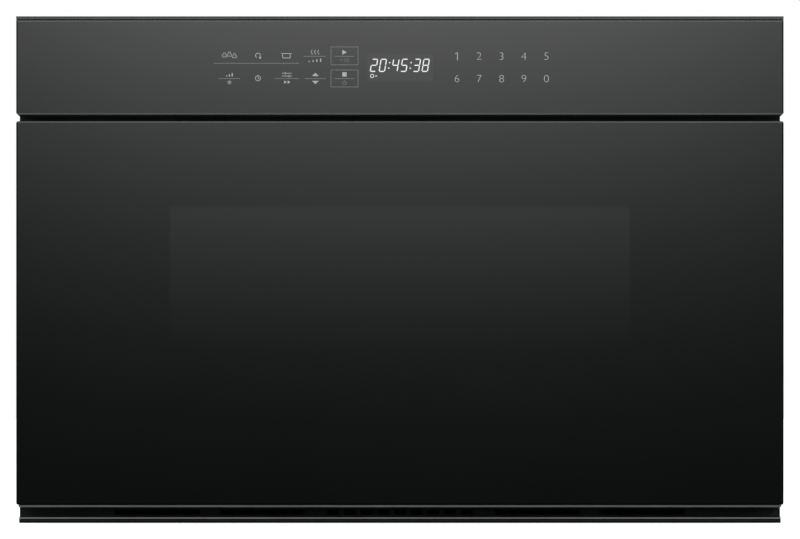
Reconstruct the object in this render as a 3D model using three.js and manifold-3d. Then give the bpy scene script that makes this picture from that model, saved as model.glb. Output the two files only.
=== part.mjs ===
// A drawer microwave oven for a built-in cabinet, 24 inches wide: a fixed chassis with the cooking cavity,
// the microwave source and the controls, and a powered drawer that carries the door and an open-topped tub.
// Millimetres. +Z is up and the front faces -Y. The origin is the middle of the footprint, on the floor.
import * as THREE from "three";
import { mergeVertices } from "three/addons/utils/BufferGeometryUtils.js";
import Module from "manifold-3d";

// ---------------------------------------- driving sizes

// Fits
const FIT = 0.3; // gap between a piece and the piece that carries it
const RUN = 0.5; // running gap between pieces that slide or turn in each other
const SHEET = 1; // chassis and cavity sheet
const ROUND_SIDES = 24; // sides of a turned piece
const SMALL_SIDES = 12; // sides of a small hole or pin
const CURVE_STEPS = 6; // steps along a round corner
const CUT_PAST = 1; // how far a cut runs past the piece
const GRID = 0.001; // faces that should meet are rounded to it, so that they do

// Front, as it is seen
const GLASS = 4; // front glass thickness
const FRONT_LAP = 25; // front glass beyond the chassis on each side
const SIDE_INSET = 2.3; // how far the face frame stands in from the glass on each side
const SILL_HEIGHT = 4.4;
const SILL_RECESS = 7.4; // dark gap between the sill and the door
const DOOR_THICKNESS = 32; // front of the glass to the back of the inner panel
const DOOR_CLEARANCE = 2; // inner panel to the face frame
const DOOR_HEAD = 39.3; // door above its inner panel
const PANEL_GAP = 4.9; // dark gap between the door and the control panel
const PANEL_HEIGHT = 77.8;
const GLASS_CORNER = 1.5; // radius of the door glass corners
const TOP_TRIM_HEIGHT = 2.4;
const TOP_TRIM_SHEET = 1.2;
const TOP_TRIM_LIP = 2; // thickness of the trim's front edge

// Chassis
const FRAME_SHEET = 1.5;
const BASE_SHEET = 1.2;
const BASE_FLANGE = 12;
const PANEL_FLANGE = 12; // turned edges of the side and rear panels
const COVER_RIB_END = 42; // end of the ribs from the edges of the cover
const COVER_RIB_RISE = 2.5;
const COVER_RIB_WIDTH = 14;
const COVER_RIB_TOP = 7;
const SCREW_RADIUS = 2.5; // cabinet screw holes in the face frame
const SCREW_SIDE_INSET = 11;
const SCREW_END_INSET = 36;
const REAR_SLOT_INSET = 3; // slot ends in from the edge of the fan duct
const REAR_SLOT_HEIGHT = 5;
const REAR_SLOT_PITCH = 11;

// Sill and vent
const SILL_STEP_BACK = 1.5; // sill face behind the glass face
const SILL_CHAMFER = 1.4;
const SILL_WALL = 1.4;
const VENT_PLATE = 2;
const VENT_END_INSET = 2.3;
const VENT_HALF_WIDTH = 240; // air opening in the face frame
const VENT_SLOT_HEIGHT = 4;
const VENT_SLOT_WIDTH = 9.5;
const VENT_SLOT_PITCH = 13.2;
const VENT_SLOTS = 9; // short slots in the middle
const LONG_SLOTS = 2; // on each side of them
const LONG_SLOT_WIDTH = 67;
const LONG_SLOT_GAP = 16;

// Cavity and tub
const LOWER_BAY = 62; // clear height under the cavity, for the drive
const UPPER_BAY = 107; // clear height over the cavity, for the microwave source
const SIDE_BAY = 46; // clear width beside the cavity, for the slides
const REAR_BAY = 103.7; // clear depth behind the cavity, for the transformer and the fan
const TUB_WIDTH = 436; // inside
const TUB_LENGTH = 432; // inside, front to back
const TUB_HEIGHT = 182; // tray to rim
const TUB_SHEET = 1;
const TUB_RIM = 8;
const TUB_CORNER = 20; // radius of the rear corners
const TUB_LIFT = 3.5; // tub over the cavity floor
const TRAY_THICKNESS = 5;
const TRAY_MARGIN = 0.5; // tray to tub wall
const RIM_CLEARANCE = 6; // rim to ceiling
const CAVITY_CLEARANCE = 3; // rim to cavity side
const CAVITY_REAR_CLEARANCE = 5;
const RUNNER_WIDTH = 20; // runners under the tub
const RUNNER_INSET = 20;

// Door
const DOOR_TRIM_HEIGHT = 2.2;
const DOOR_TRIM_INSET = 1.5; // trim ends in from the glass edge
const DOOR_TRIM_TAPER = 0.7; // how much further in they are at the lower edge
const DOOR_TRIM_BACKSET = 1; // trim face behind the glass face
const DOOR_TRIM_DEPTH = 29;
const DOOR_FRAME_INSET = 0.6; // frame edge in from the glass edge
const DOOR_FRAME_WALL = 1.5;
const DOOR_FRAME_FLANGE = 16; // glue flange behind the glass
const CHOKE_OVERLAP = 16; // inner panel beyond the cavity mouth
const CHOKE_DEPTH = 8;
const CHOKE_WIDTH = 14;
const WINDOW_WIDTH = 363;
const WINDOW_HEIGHT = 113;
const WINDOW_DROP = 28.6; // top of the inner panel to the top of the window
const SCREEN_SHEET = 0.6;
const SCREEN_LAP = 5;
const INNER_GLASS = 3;
const HOOK_INSET = 30; // latch hooks in from the cavity sides
const HOOK_WIDTH = 6;
const HOOK_REACH = 28; // behind the door
const HOOK_HEIGHT = 10;
const HOOK_RISE = 14.3; // bottom of the hook over the inner panel
const HOOK_FOOT = 1; // foot beyond the hook, above and below
const HOOK_NOTCH = 2; // depth of the notch that the latch drops into
const HOOK_NOSE = 12; // length of the nose behind the notch
const HOOK_CHAMFER = 3;

// Slides and drive
const TRAVEL = 380; // full opening of the drawer
const SLIDE_LENGTH = 450;
const SLIDE_THICKNESS = 12.7;
const SLIDE_HEIGHT = 45;
const SLIDE_SHEET = 1.2;
const SLIDE_LIFT = 22; // slides over the underside of the cavity, to their middle
const SLIDE_BACKSET = 1.7; // edges of the outer and middle members behind the inner member's face
const BEAM_SHEET = 1.5;
const BEAM_FLANGE = 13.5;
const BEAM_HEIGHT = 50;
const SLOT_CLEARANCE = 2; // round what passes through the face frame
const MODULE = 2.5; // gear teeth
const PINION_TEETH = 12;
const RACK_ADDENDUM = 1.75; // short, so that a 12 tooth pinion isn't undercut
const RACK_DEDENDUM = 3.125;
const RACK_BACK = 6.5; // solid height over the rack's tooth roots
const BACKLASH = 0.15; // taken off each flank
const PRESSURE_ANGLE = 20; // degrees
const RACK_WIDTH = 12;
const PINION_WIDTH = 11;
const SPARE_TEETH = 2; // rack teeth past each end of the travel
const SHAFT_RADIUS = 5;
const BEARING_WIDTH = 9;
const BEARING_DEPTH = 24;
const BEARING_CAP = 6; // material over the shaft
const BEARING_GAP = 2.1; // rack to bearing
const GEARBOX_WIDTH = 40;
const GEARBOX_DEPTH = 44;
const GEARBOX_CAP = 12; // material over the shaft
const GEARBOX_BACKSET = 3.7; // gearbox behind the face frame
const GEARBOX_SIDE = -70; // gearbox from the middle of the oven
const MOTOR_RADIUS = 18;
const MOTOR_LIFT = 4; // motor over the base pan
const MOTOR_LENGTH = 68;
const MOTOR_CAP_RADIUS = 9;
const MOTOR_CAP_LENGTH = 6;

// Stirrer and waveguide
const STIRRER_OPENING = 190; // square hole in the ceiling
const STIRRER_BOX_HEIGHT = 25;
const STIRRER_BOX_FLANGE = 9;
const STIRRER_COVER = 1.7; // thickness
const STIRRER_CLEARANCE = 15; // blade tips to the box
const STIRRER_BLADES = 4;
const STIRRER_BLADE_WIDTH = 34;
const STIRRER_PITCH = 14; // degrees, turned one way and the other
const STIRRER_SHEET = 1.5;
const STIRRER_SHAFT = 4; // radius
const STIRRER_HUB = 12; // radius
const STIRRER_MOTOR_RADIUS = 25;
const STIRRER_MOTOR_HEIGHT = 20;
const STIRRER_EAR_LENGTH = 8;
const STIRRER_EAR_WIDTH = 12;
const COUPLING_RADIUS = 20; // hole from the waveguide to the stirrer box
const WAVEGUIDE_WIDTH = 92;
const WAVEGUIDE_HEIGHT = 40;
const WAVEGUIDE_FRONT = 60; // in front of the stirrer's axis
const WAVEGUIDE_REAR = 205; // behind it

// Magnetron, transformer and capacitor
const ANTENNA_RADIUS = 8;
const ANTENNA_LENGTH = 25;
const MAGNETRON_WIDTH = 96;
const MAGNETRON_HEIGHT = 80;
const MAGNETRON_DEPTH = 60; // of the finned part
const MAGNETRON_SHEET = 2;
const MAGNETRON_FINS = 6;
const FIN_INSET = 4; // fin ends in from the sides of the yoke
const ANODE_RADIUS = 20;
const FILTER_WIDTH = 76;
const FILTER_HEIGHT = 68;
const FILTER_DEPTH = 34;
const CORE_WIDTH = 90; // transformer
const CORE_HEIGHT = 75;
const CORE_STACK = 46;
const CORE_LIMB = 15;
const COIL_THICKNESS = 14;
const COIL_CORNER = 12;
const COIL_GROOVE = 2; // between the two coils
const TRANSFORMER_INSET = 97; // its middle in from the left side panel
const CAPACITOR_SPACING = 140; // transformer to the capacitor, middle to middle
const CAPACITOR_WIDTH = 54;
const CAPACITOR_DEPTH = 34;
const CAPACITOR_HEIGHT = 92;
const TAB_WIDTH = 6;
const TAB_HEIGHT = 9;

// Fan, cord gland, lamp, filter board and door switches
const FAN_INSET = 112; // its middle in from the right side panel
const FAN_DROP = 3; // fan below the top cover
const FAN_DEPTH = 26;
const FAN_RADIUS = 55; // duct
const FAN_WALL = 5;
const FAN_TIP_GAP = 2;
const FAN_HUB = 18; // radius of the motor
const FAN_ARM_WIDTH = 6;
const FAN_ARM_DEPTH = 3;
const FAN_BLADES = 7;
const FAN_BLADE_WIDTH = 24;
const FAN_BLADE_SHEET = 1.6;
const FAN_BLADE_PITCH = 40; // degrees
const FAN_MOTOR_LENGTH = 22;
const FAN_SHAFT = 3;
const GLAND_PROJECTION = 6; // past the rear panel
const GLAND_INSIDE = 12;
const GLAND_RADIUS = 9;
const GLAND_COLLAR_RADIUS = 13;
const GLAND_COLLAR = 2.7;
const GLAND_BORE = 4.5;
const GLAND_INSET = 42; // its middle in from the left side panel
const LAMP_INSET = 82; // its middle in from the left side of the cavity
const LAMP_BACKSET = 84; // lamp behind the face frame
const LAMP_RADIUS = 18;
const LAMP_WIDTH = 52;
const LAMP_HEIGHT = 34;
const LAMP_DROP = 1; // lens below the ceiling's upper face and above it
const BOARD = 1.6; // circuit board thickness
const BOARD_HOLE_INSET = 7;
const FILTER_BOARD_WIDTH = 120;
const FILTER_BOARD_DEPTH = 84;
const FILTER_BOARD_GAP = 2; // from the stirrer box
const STANDOFF_HEIGHT = 6;
const STANDOFF_RADIUS = 3;
const FILTER_COIL_RADIUS = 15;
const FILTER_COIL_HEIGHT = 22;
const FILTER_RELAY = 24;
const FILTER_FUSE_LENGTH = 60;
const FILTER_FUSE_WIDTH = 12;
const SWITCH_DEPTH = 26;
const SWITCH_HEIGHT = 17;
const SWITCH_LEVER = 3;
const SWITCH_FOOT = 13;
const SWITCH_BRACKET_HEIGHT = 24;

// Controls
const HOUSING_WALL = 2;
const HOUSING_CHAMFER = 2.4; // lower corners, down to the width of the face frame
const HOUSING_DROP = 1.4; // housing below the control glass
const BOSS_RADIUS = 4;
const BOSS_COLUMNS = 3;
const DISPLAY_WIDTH = 52;
const DISPLAY_HEIGHT = 21.7;
const DISPLAY_BEZEL = 3;
const DISPLAY_DEPTH = 8;
const DISPLAY_DROP = 29.8; // top of the front to the top of the display
const CONTROL_BOARD_WIDTH = 300;
const CONTROL_BOARD_HEIGHT = 56;
const TOUCH_PAD_GAP = 3; // display to the touch pads
const TOUCH_PAD_MARGIN = 3; // touch pads in from the edge of the board
const RELAY_PLACES = [-96, -72, 72]; // behind the board
const RELAY_WIDTH = 16;
const RELAY_HEIGHT = 20;
const RELAY_DEPTH = 10;
const WIRING_WIDTH = 76; // hole for the wiring behind the display
const WIRING_HEIGHT = 18;

// ---------------------------------------- derived places

// Side to side, from the middle
const tubHalf = TUB_WIDTH / 2;
const tubOutside = tubHalf + TUB_SHEET;
const cavityHalf = tubOutside + TUB_RIM + CAVITY_CLEARANCE;
const cavityOutside = cavityHalf + SHEET;
const chassisInside = cavityOutside + SIDE_BAY;
const chassisHalf = chassisInside + SHEET;
const glassHalf = chassisHalf + FRONT_LAP;
const frameHalf = glassHalf - SIDE_INSET;
const windowHalf = WINDOW_WIDTH / 2;
const hookX = cavityHalf - HOOK_INSET;
const coverRibX = chassisHalf / 2;
const transformerX = TRANSFORMER_INSET - chassisInside;
const capacitorX = transformerX + CAPACITOR_SPACING;
const fanX = chassisInside - FAN_INSET;
const glandX = GLAND_INSET - chassisInside;
const lampX = LAMP_INSET - cavityHalf;

// Front to back
const frontToDrawer = DOOR_THICKNESS + FIT;
const drawerToRear = TUB_LENGTH + TUB_SHEET + TUB_RIM + CAVITY_REAR_CLEARANCE + SHEET + REAR_BAY + SHEET;
const frontY = -(frontToDrawer + drawerToRear + GLAND_PROJECTION) / 2;
const glassBackY = frontY + GLASS;
const doorBackY = frontY + DOOR_THICKNESS;
const drawerFrontY = doorBackY + FIT; // where everything carried by the door starts
const frameFrontY = doorBackY + DOOR_CLEARANCE;
const frameBackY = frameFrontY + FRAME_SHEET;
const bodyFrontY = frameBackY + FIT; // where everything behind the face frame starts
const tubBackY = drawerFrontY + TUB_LENGTH;
const cavityBackY = tubBackY + TUB_SHEET + TUB_RIM + CAVITY_REAR_CLEARANCE;
const rearInsideY = cavityBackY + SHEET + REAR_BAY;
const rearY = rearInsideY + SHEET;
const bodyRearY = rearInsideY - FIT;
const stirrerY = (drawerFrontY + tubBackY) / 2;
const waveguideRearY = stirrerY + WAVEGUIDE_REAR;
const transformerY = (cavityBackY + SHEET + bodyRearY) / 2;
const fanFrontY = bodyRearY - FAN_DEPTH;
const shaftY = bodyFrontY + GEARBOX_BACKSET + GEARBOX_DEPTH / 2;
const lampY = frameBackY + LAMP_BACKSET;

// Bottom to top, behind the front
const cavityFloorZ = BASE_SHEET + LOWER_BAY; // underside of the cavity floor
const tubBottomZ = cavityFloorZ + SHEET + TUB_LIFT;
const trayBottomZ = tubBottomZ + TUB_SHEET + FIT;
const trayTopZ = trayBottomZ + TRAY_THICKNESS;
const rimZ = trayTopZ + TUB_HEIGHT;
const ceilingZ = rimZ + RIM_CLEARANCE; // underside of the ceiling
const ceilingTopZ = ceilingZ + SHEET;
const coverZ = ceilingTopZ + UPPER_BAY; // underside of the top cover
const wallTopZ = coverZ - FIT;
const stirrerBoxTopZ = ceilingTopZ + FIT + STIRRER_BOX_HEIGHT;
const waveguideZ = stirrerBoxTopZ + FIT;
const waveguideTopZ = waveguideZ + WAVEGUIDE_HEIGHT;
const waveguideMiddleZ = waveguideZ + WAVEGUIDE_HEIGHT / 2;
const fanZ = coverZ - FAN_DROP - FAN_WALL - FAN_RADIUS;

// Bottom to top, at the front
const chokeBottomZ = cavityFloorZ + SHEET - CHOKE_OVERLAP;
const chokeTopZ = ceilingZ + CHOKE_OVERLAP;
const doorBottomZ = SILL_HEIGHT + SILL_RECESS;
const doorGlassBottomZ = doorBottomZ + DOOR_TRIM_HEIGHT + FIT;
const doorTopZ = chokeTopZ + DOOR_HEAD;
const windowTopZ = chokeTopZ - WINDOW_DROP;
const windowBottomZ = windowTopZ - WINDOW_HEIGHT;
const hookBottomZ = chokeTopZ + HOOK_RISE;
const hookTopZ = hookBottomZ + HOOK_HEIGHT;
const panelBottomZ = doorTopZ + PANEL_GAP;
const frontTopZ = panelBottomZ + PANEL_HEIGHT;
const controlGlassTopZ = frontTopZ - TOP_TRIM_HEIGHT - RUN;
const frameTopZ = controlGlassTopZ - FIT;
const displayZ = frontTopZ - DISPLAY_DROP - DISPLAY_HEIGHT / 2;
const controlBoardBackY = glassBackY + FIT + DISPLAY_DEPTH + FIT + BOARD;

// Slides and drive
const slideZ = cavityFloorZ + SLIDE_LIFT; // middle of the slides
const slideOuterX = chassisInside - FIT;
const slideInnerX = slideOuterX - SLIDE_THICKNESS;
const beamOuterX = slideInnerX - FIT;
const beamInnerX = beamOuterX - BEAM_FLANGE;
const beamBottomZ = slideZ - BEAM_HEIGHT / 2;
const beamTopZ = slideZ + BEAM_HEIGHT / 2;
const rackTopZ = beamBottomZ - FIT;
const rackOuterX = beamOuterX - BEAM_SHEET;
const rackInnerX = rackOuterX - RACK_WIDTH;
const rackRootZ = rackTopZ - RACK_BACK;
const rackPitchZ = rackRootZ - RACK_DEDENDUM;
const rackTipZ = rackPitchZ - RACK_ADDENDUM;
const toothPitch = Math.PI * MODULE;
const pinionRadius = (MODULE * PINION_TEETH) / 2;
const shaftZ = rackPitchZ - pinionRadius;
const bearingInnerX = rackOuterX + BEARING_GAP;
const pressureAngle = THREE.MathUtils.degToRad(PRESSURE_ANGLE);

// ---------------------------------------- solid modelling

const wasm = await Module();
wasm.setup();

/** Turns a closed three.js geometry into a solid that can be joined and cut. */
function solid(geometry) {
  const loose = geometry.index ? geometry.toNonIndexed() : geometry;
  const bare = new THREE.BufferGeometry().setAttribute("position", loose.getAttribute("position"));
  const merged = mergeVertices(bare, GRID / 10);
  const rounded = (value) => Math.round(value / GRID) * GRID;
  const vertProperties = merged.getAttribute("position").array.map(rounded);
  const triVerts = new Uint32Array(merged.index.array);
  return new wasm.Manifold(new wasm.Mesh({ numProp: 3, vertProperties, triVerts }));
}

/** Joins solids into one. */
function join(first, ...others) {
  return others.reduce((whole, other) => whole.add(other), first);
}

/** Takes solids out of another. */
function cut(from, ...tools) {
  return tools.reduce((whole, tool) => whole.subtract(tool), from);
}

/** The span from one distance to another on the left (-1) or right (1) of the middle. */
function across(side, from, to) {
  return side < 0 ? [-to, -from] : [from, to];
}

/** A span of the given width about a middle. */
function about(middle, width) {
  return [middle - width / 2, middle + width / 2];
}

/** A span that runs past both ends of another, for a cut that goes right through. */
function past([from, to]) {
  return [from - CUT_PAST, to + CUT_PAST];
}

/** A block, given its span along each axis. */
function block([x0, x1], [y0, y1], [z0, z1]) {
  const box = new THREE.BoxGeometry(x1 - x0, y1 - y0, z1 - z0);
  return solid(box.translate((x0 + x1) / 2, (y0 + y1) / 2, (z0 + z1) / 2));
}

/** Where a flat outline lies: its two directions and the way it is extruded. */
const planes = {
  x: new THREE.Matrix4().makeBasis(
    new THREE.Vector3(0, 1, 0), new THREE.Vector3(0, 0, 1), new THREE.Vector3(1, 0, 0)),
  y: new THREE.Matrix4().makeBasis(
    new THREE.Vector3(1, 0, 0), new THREE.Vector3(0, 0, 1), new THREE.Vector3(0, -1, 0)),
  z: new THREE.Matrix4(),
};

/** An outline extruded over a span of an axis. It is a shape or points, in (y, z), (x, z) or (x, y). */
function extrude(axis, outline, [from, to]) {
  const corner = ([u, v]) => new THREE.Vector2(u, v);
  const shape = Array.isArray(outline) ? new THREE.Shape(outline.map(corner)) : outline;
  const settings = { depth: to - from, bevelEnabled: false, curveSegments: CURVE_STEPS };
  const geometry = new THREE.ExtrudeGeometry(shape, settings);
  const start = new THREE.Vector3();
  start[axis] = axis === "y" ? to : from;
  return solid(geometry.applyMatrix4(planes[axis]).translate(start.x, start.y, start.z));
}

/** A round bar over a span of an axis, through a place given by its other two coordinates. */
function rod(axis, radius, [from, to], place, sides = ROUND_SIDES) {
  const bar = new THREE.CylinderGeometry(radius, radius, to - from, sides);
  if (axis === "x") bar.rotateZ(Math.PI / 2);
  if (axis === "z") bar.rotateX(Math.PI / 2);
  const middle = new THREE.Vector3(place.x ?? 0, place.y ?? 0, place.z ?? 0);
  middle[axis] = (from + to) / 2;
  return solid(bar.translate(middle.x, middle.y, middle.z));
}

/** A rectangle with round corners, given its two spans. */
function roundedRectangle([u0, u1], [v0, v1], radius) {
  const shape = new THREE.Shape();
  shape.absarc(u1 - radius, v0 + radius, radius, -Math.PI / 2, 0, false);
  shape.absarc(u1 - radius, v1 - radius, radius, 0, Math.PI / 2, false);
  shape.absarc(u0 + radius, v1 - radius, radius, Math.PI / 2, Math.PI, false);
  shape.absarc(u0 + radius, v0 + radius, radius, Math.PI, 1.5 * Math.PI, false);
  return shape;
}

/** The plan of the tub, open at the front and with round rear corners, grown by an amount on three sides. */
function tubPlan(grown, front) {
  const half = tubHalf + grown;
  const back = tubBackY + grown;
  const radius = TUB_CORNER + grown;
  const plan = new THREE.Shape();
  plan.moveTo(-half, front);
  plan.lineTo(half, front);
  plan.absarc(half - radius, back - radius, radius, 0, Math.PI / 2, false);
  plan.absarc(-half + radius, back - radius, radius, Math.PI / 2, Math.PI, false);
  return plan;
}

// ---------------------------------------- finishes

/** A finish of the given colour, roughness and metalness. */
function finish(color, roughness, metalness) {
  return new THREE.MeshStandardMaterial({ color, roughness, metalness });
}

const finishes = {
  blackGlass: finish(0x1b1c1c, 0.12, 0.0),
  clearGlass: finish(0x59605f, 0.1, 0.0),
  blackPaint: finish(0x0d0d0e, 0.5, 0.1),
  darkTrim: finish(0x4b4d4d, 0.35, 0.8),
  zincSheet: finish(0x9da1a3, 0.45, 0.9),
  cavityPaint: finish(0x8d8f90, 0.4, 0.2),
  whiteCeramic: finish(0xe2e1dc, 0.3, 0.0),
  blackPlastic: finish(0x171718, 0.55, 0.0),
  whitePlastic: finish(0xd9d8d2, 0.5, 0.0),
  steel: finish(0xb4b7ba, 0.3, 1.0),
  copper: finish(0xa8602f, 0.4, 0.9),
  board: finish(0x1d5a37, 0.6, 0.0),
  coreSteel: finish(0x4a4540, 0.6, 0.6),
};

/** A named piece made from a solid. */
function piece(name, made, material) {
  const { numVert, numProp, triVerts, vertProperties } = made.getMesh();
  const positions = new Float32Array(numVert * 3);
  for (let i = 0; i < numVert; i++) {
    positions.set(vertProperties.subarray(i * numProp, i * numProp + 3), i * 3);
  }
  const indexed = new THREE.BufferGeometry();
  indexed.setAttribute("position", new THREE.BufferAttribute(positions, 3));
  indexed.setIndex(new THREE.BufferAttribute(triVerts, 1));
  const geometry = indexed.toNonIndexed();
  geometry.computeVertexNormals();
  const mesh = new THREE.Mesh(geometry, material);
  mesh.name = name;
  return mesh;
}

/** A group of pieces or smaller groups. */
function assembly(...members) {
  return new THREE.Group().add(...members);
}

/** The name of a piece that the oven has on each side. */
function sided(name, side) {
  return `${name}_${side < 0 ? "left" : "right"}`;
}

const SIDES = [-1, 1];

// ---------------------------------------- chassis

/** The black steel plate that everything is fixed to, and that laps the cabinet round its opening. */
function faceFrame() {
  const thick = [frameFrontY, frameBackY];
  const through = past(thick);
  const plate = block([-frameHalf, frameHalf], thick, [0, frameTopZ]);
  const mouth = block([-cavityHalf, cavityHalf], through, [cavityFloorZ + SHEET, ceilingZ]);
  const vent = block([-VENT_HALF_WIDTH, VENT_HALF_WIDTH], through,
    [SILL_HEIGHT + SHEET, doorBottomZ - SHEET]);
  const wiring = block(about(0, WIRING_WIDTH + RUN), through, about(displayZ, WIRING_HEIGHT + RUN));
  const screwHeights = [SCREW_END_INSET, frameTopZ / 2, frameTopZ - SCREW_END_INSET];
  const sideCuts = SIDES.flatMap((side) => {
    const slideSlot = block(
      across(side, rackInnerX - SLOT_CLEARANCE, chassisInside),
      through, [rackTipZ - SLOT_CLEARANCE, beamTopZ + SLOT_CLEARANCE]);
    const hookSlot = block(
      about(side * hookX, HOOK_WIDTH + 2 * SLOT_CLEARANCE),
      through, [hookBottomZ - SLOT_CLEARANCE, hookTopZ + SLOT_CLEARANCE]);
    const screws = screwHeights.map((z) =>
      rod("y", SCREW_RADIUS, through, { x: side * (frameHalf - SCREW_SIDE_INSET), z }, SMALL_SIDES));
    return [slideSlot, hookSlot, ...screws];
  });
  return piece("face_frame", cut(plate, mouth, vent, wiring, ...sideCuts), finishes.blackPaint);
}

/** The floor of the chassis, with its sides turned up. */
function basePan() {
  const half = chassisInside - FIT;
  const depth = [bodyFrontY, bodyRearY];
  const floor = block([-half, half], depth, [0, BASE_SHEET]);
  const flanges = SIDES.map((side) => block(across(side, half - SHEET, half), depth, [0, BASE_FLANGE]));
  return piece("base_pan", join(floor, ...flanges), finishes.zincSheet);
}

/** A chassis side, with its top edge turned in to carry the cover. */
function sidePanel(side) {
  const depth = [bodyFrontY, bodyRearY];
  const wall = block(across(side, chassisInside, chassisHalf), depth, [0, wallTopZ]);
  const flange = block(across(side, chassisInside - PANEL_FLANGE, chassisHalf), depth,
    [wallTopZ - SHEET, wallTopZ]);
  return piece(sided("side_panel", side), join(wall, flange), finishes.zincSheet);
}

/** The chassis back, with air slots behind the fan and a hole for the cord gland. */
function rearPanel() {
  const through = past([rearInsideY, rearY]);
  const inside = chassisInside - FIT;
  const wall = block([-chassisHalf, chassisHalf], [rearInsideY, rearY], [0, wallTopZ]);
  const flanges = SIDES.map((side) =>
    block(across(side, inside - SHEET, inside), [rearInsideY - PANEL_FLANGE, rearY],
      [BASE_FLANGE + FIT, wallTopZ - SHEET - FIT]));
  const slotWidth = 2 * (FAN_RADIUS - REAR_SLOT_INSET);
  const slotCount = Math.floor((2 * FAN_RADIUS - REAR_SLOT_HEIGHT) / REAR_SLOT_PITCH);
  const slots = Array.from({ length: slotCount }, (_, i) => {
    const z = fanZ + (i - (slotCount - 1) / 2) * REAR_SLOT_PITCH;
    return block(about(fanX, slotWidth), through, about(z, REAR_SLOT_HEIGHT));
  });
  const gland = rod("y", GLAND_RADIUS + FIT, through, { x: glandX, z: fanZ });
  return piece("rear_panel", cut(join(wall, ...flanges), ...slots, gland), finishes.zincSheet);
}

/** The chassis lid, with two pressed ribs. */
function topCover() {
  const depth = [bodyFrontY, rearY];
  const top = coverZ + SHEET;
  const lid = block([-chassisHalf, chassisHalf], depth, [coverZ, top]);
  const ribs = SIDES.map((side) => {
    const foot = about(side * coverRibX, COVER_RIB_WIDTH);
    const crown = about(side * coverRibX, COVER_RIB_TOP);
    const crownZ = top + COVER_RIB_RISE;
    const section = [[foot[0], top], [foot[1], top], [crown[1], crownZ], [crown[0], crownZ]];
    return extrude("y", section, [depth[0] + COVER_RIB_END, depth[1] - COVER_RIB_END]);
  });
  return piece("top_cover", join(lid, ...ribs), finishes.zincSheet);
}

/** The narrow strip under the door. */
function sillTrim() {
  const front = frontY + SILL_STEP_BACK;
  const back = frameFrontY - FIT;
  const under = SILL_HEIGHT - SILL_WALL;
  const nose = front + SILL_WALL + SILL_CHAMFER;
  const section = [
    [front, 0], [nose, 0], [nose, under], [back - SILL_WALL, under], [back - SILL_WALL, 0], [back, 0],
    [back, SILL_HEIGHT], [front + SILL_CHAMFER, SILL_HEIGHT], [front, SILL_HEIGHT - SILL_CHAMFER],
  ];
  return piece("sill_trim", extrude("x", section, [-frameHalf, frameHalf]), finishes.darkTrim);
}

/** The slotted strip behind the gap under the door, where the cooling air comes out. */
function ventGrille() {
  const back = frameFrontY - FIT;
  const thick = [back - VENT_PLATE, back];
  const half = frameHalf - VENT_END_INSET;
  const slotZ = about((SILL_HEIGHT + doorBottomZ) / 2, VENT_SLOT_HEIGHT);
  const plate = block([-half, half], thick, [SILL_HEIGHT + FIT, doorBottomZ - FIT]);
  const short = Array.from({ length: VENT_SLOTS }, (_, i) =>
    block(about((i - (VENT_SLOTS - 1) / 2) * VENT_SLOT_PITCH, VENT_SLOT_WIDTH), past(thick), slotZ));
  const firstLong = (VENT_SLOTS / 2) * VENT_SLOT_PITCH + LONG_SLOT_GAP;
  const long = SIDES.flatMap((side) => Array.from({ length: LONG_SLOTS }, (_, i) => {
    const start = firstLong + i * (LONG_SLOT_WIDTH + LONG_SLOT_GAP);
    return block(across(side, start, start + LONG_SLOT_WIDTH), past(thick), slotZ);
  }));
  return piece("vent_grille", cut(plate, ...short, ...long), finishes.blackPlastic);
}

/** The bushing in the rear panel that the mains lead would come out of. */
function cordGland() {
  const place = { x: glandX, z: fanZ };
  const length = [rearInsideY - GLAND_INSIDE, rearY + GLAND_PROJECTION];
  const body = rod("y", GLAND_RADIUS, length, place);
  const collar = rod("y", GLAND_COLLAR_RADIUS, [rearY + FIT, rearY + FIT + GLAND_COLLAR], place);
  const bore = rod("y", GLAND_BORE, past(length), place);
  return piece("cord_gland", cut(join(body, collar), bore), finishes.blackPlastic);
}

// ---------------------------------------- controls

/** An outline whose lower corners are cut off at 45 degrees, given its half width and heights. */
function cornerCutOutline(half, bottom, top, chamfer) {
  return [[-half, top], [-half, bottom + chamfer], [-half + chamfer, bottom], [half - chamfer, bottom],
    [half, bottom + chamfer], [half, top]];
}

/** The dark glass with the touch keys. Its lower corners line up with those of the housing. */
function controlGlass() {
  const chamfer = HOUSING_CHAMFER + FIT - HOUSING_DROP;
  const outline = cornerCutOutline(glassHalf, panelBottomZ, controlGlassTopZ, chamfer);
  return piece("control_glass", extrude("y", outline, [frontY, glassBackY]), finishes.blackGlass);
}

/** The metal cap along the top of the control panel. */
function topTrim() {
  const back = frameFrontY - FIT;
  const lip = frontTopZ - TOP_TRIM_HEIGHT;
  const under = frontTopZ - TOP_TRIM_SHEET;
  const section = [[frontY, lip], [frontY + TOP_TRIM_LIP, lip], [frontY + TOP_TRIM_LIP, under], [back, under],
    [back, frontTopZ], [frontY, frontTopZ]];
  return piece("top_trim", extrude("x", section, [-glassHalf, glassHalf]), finishes.darkTrim);
}

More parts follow.
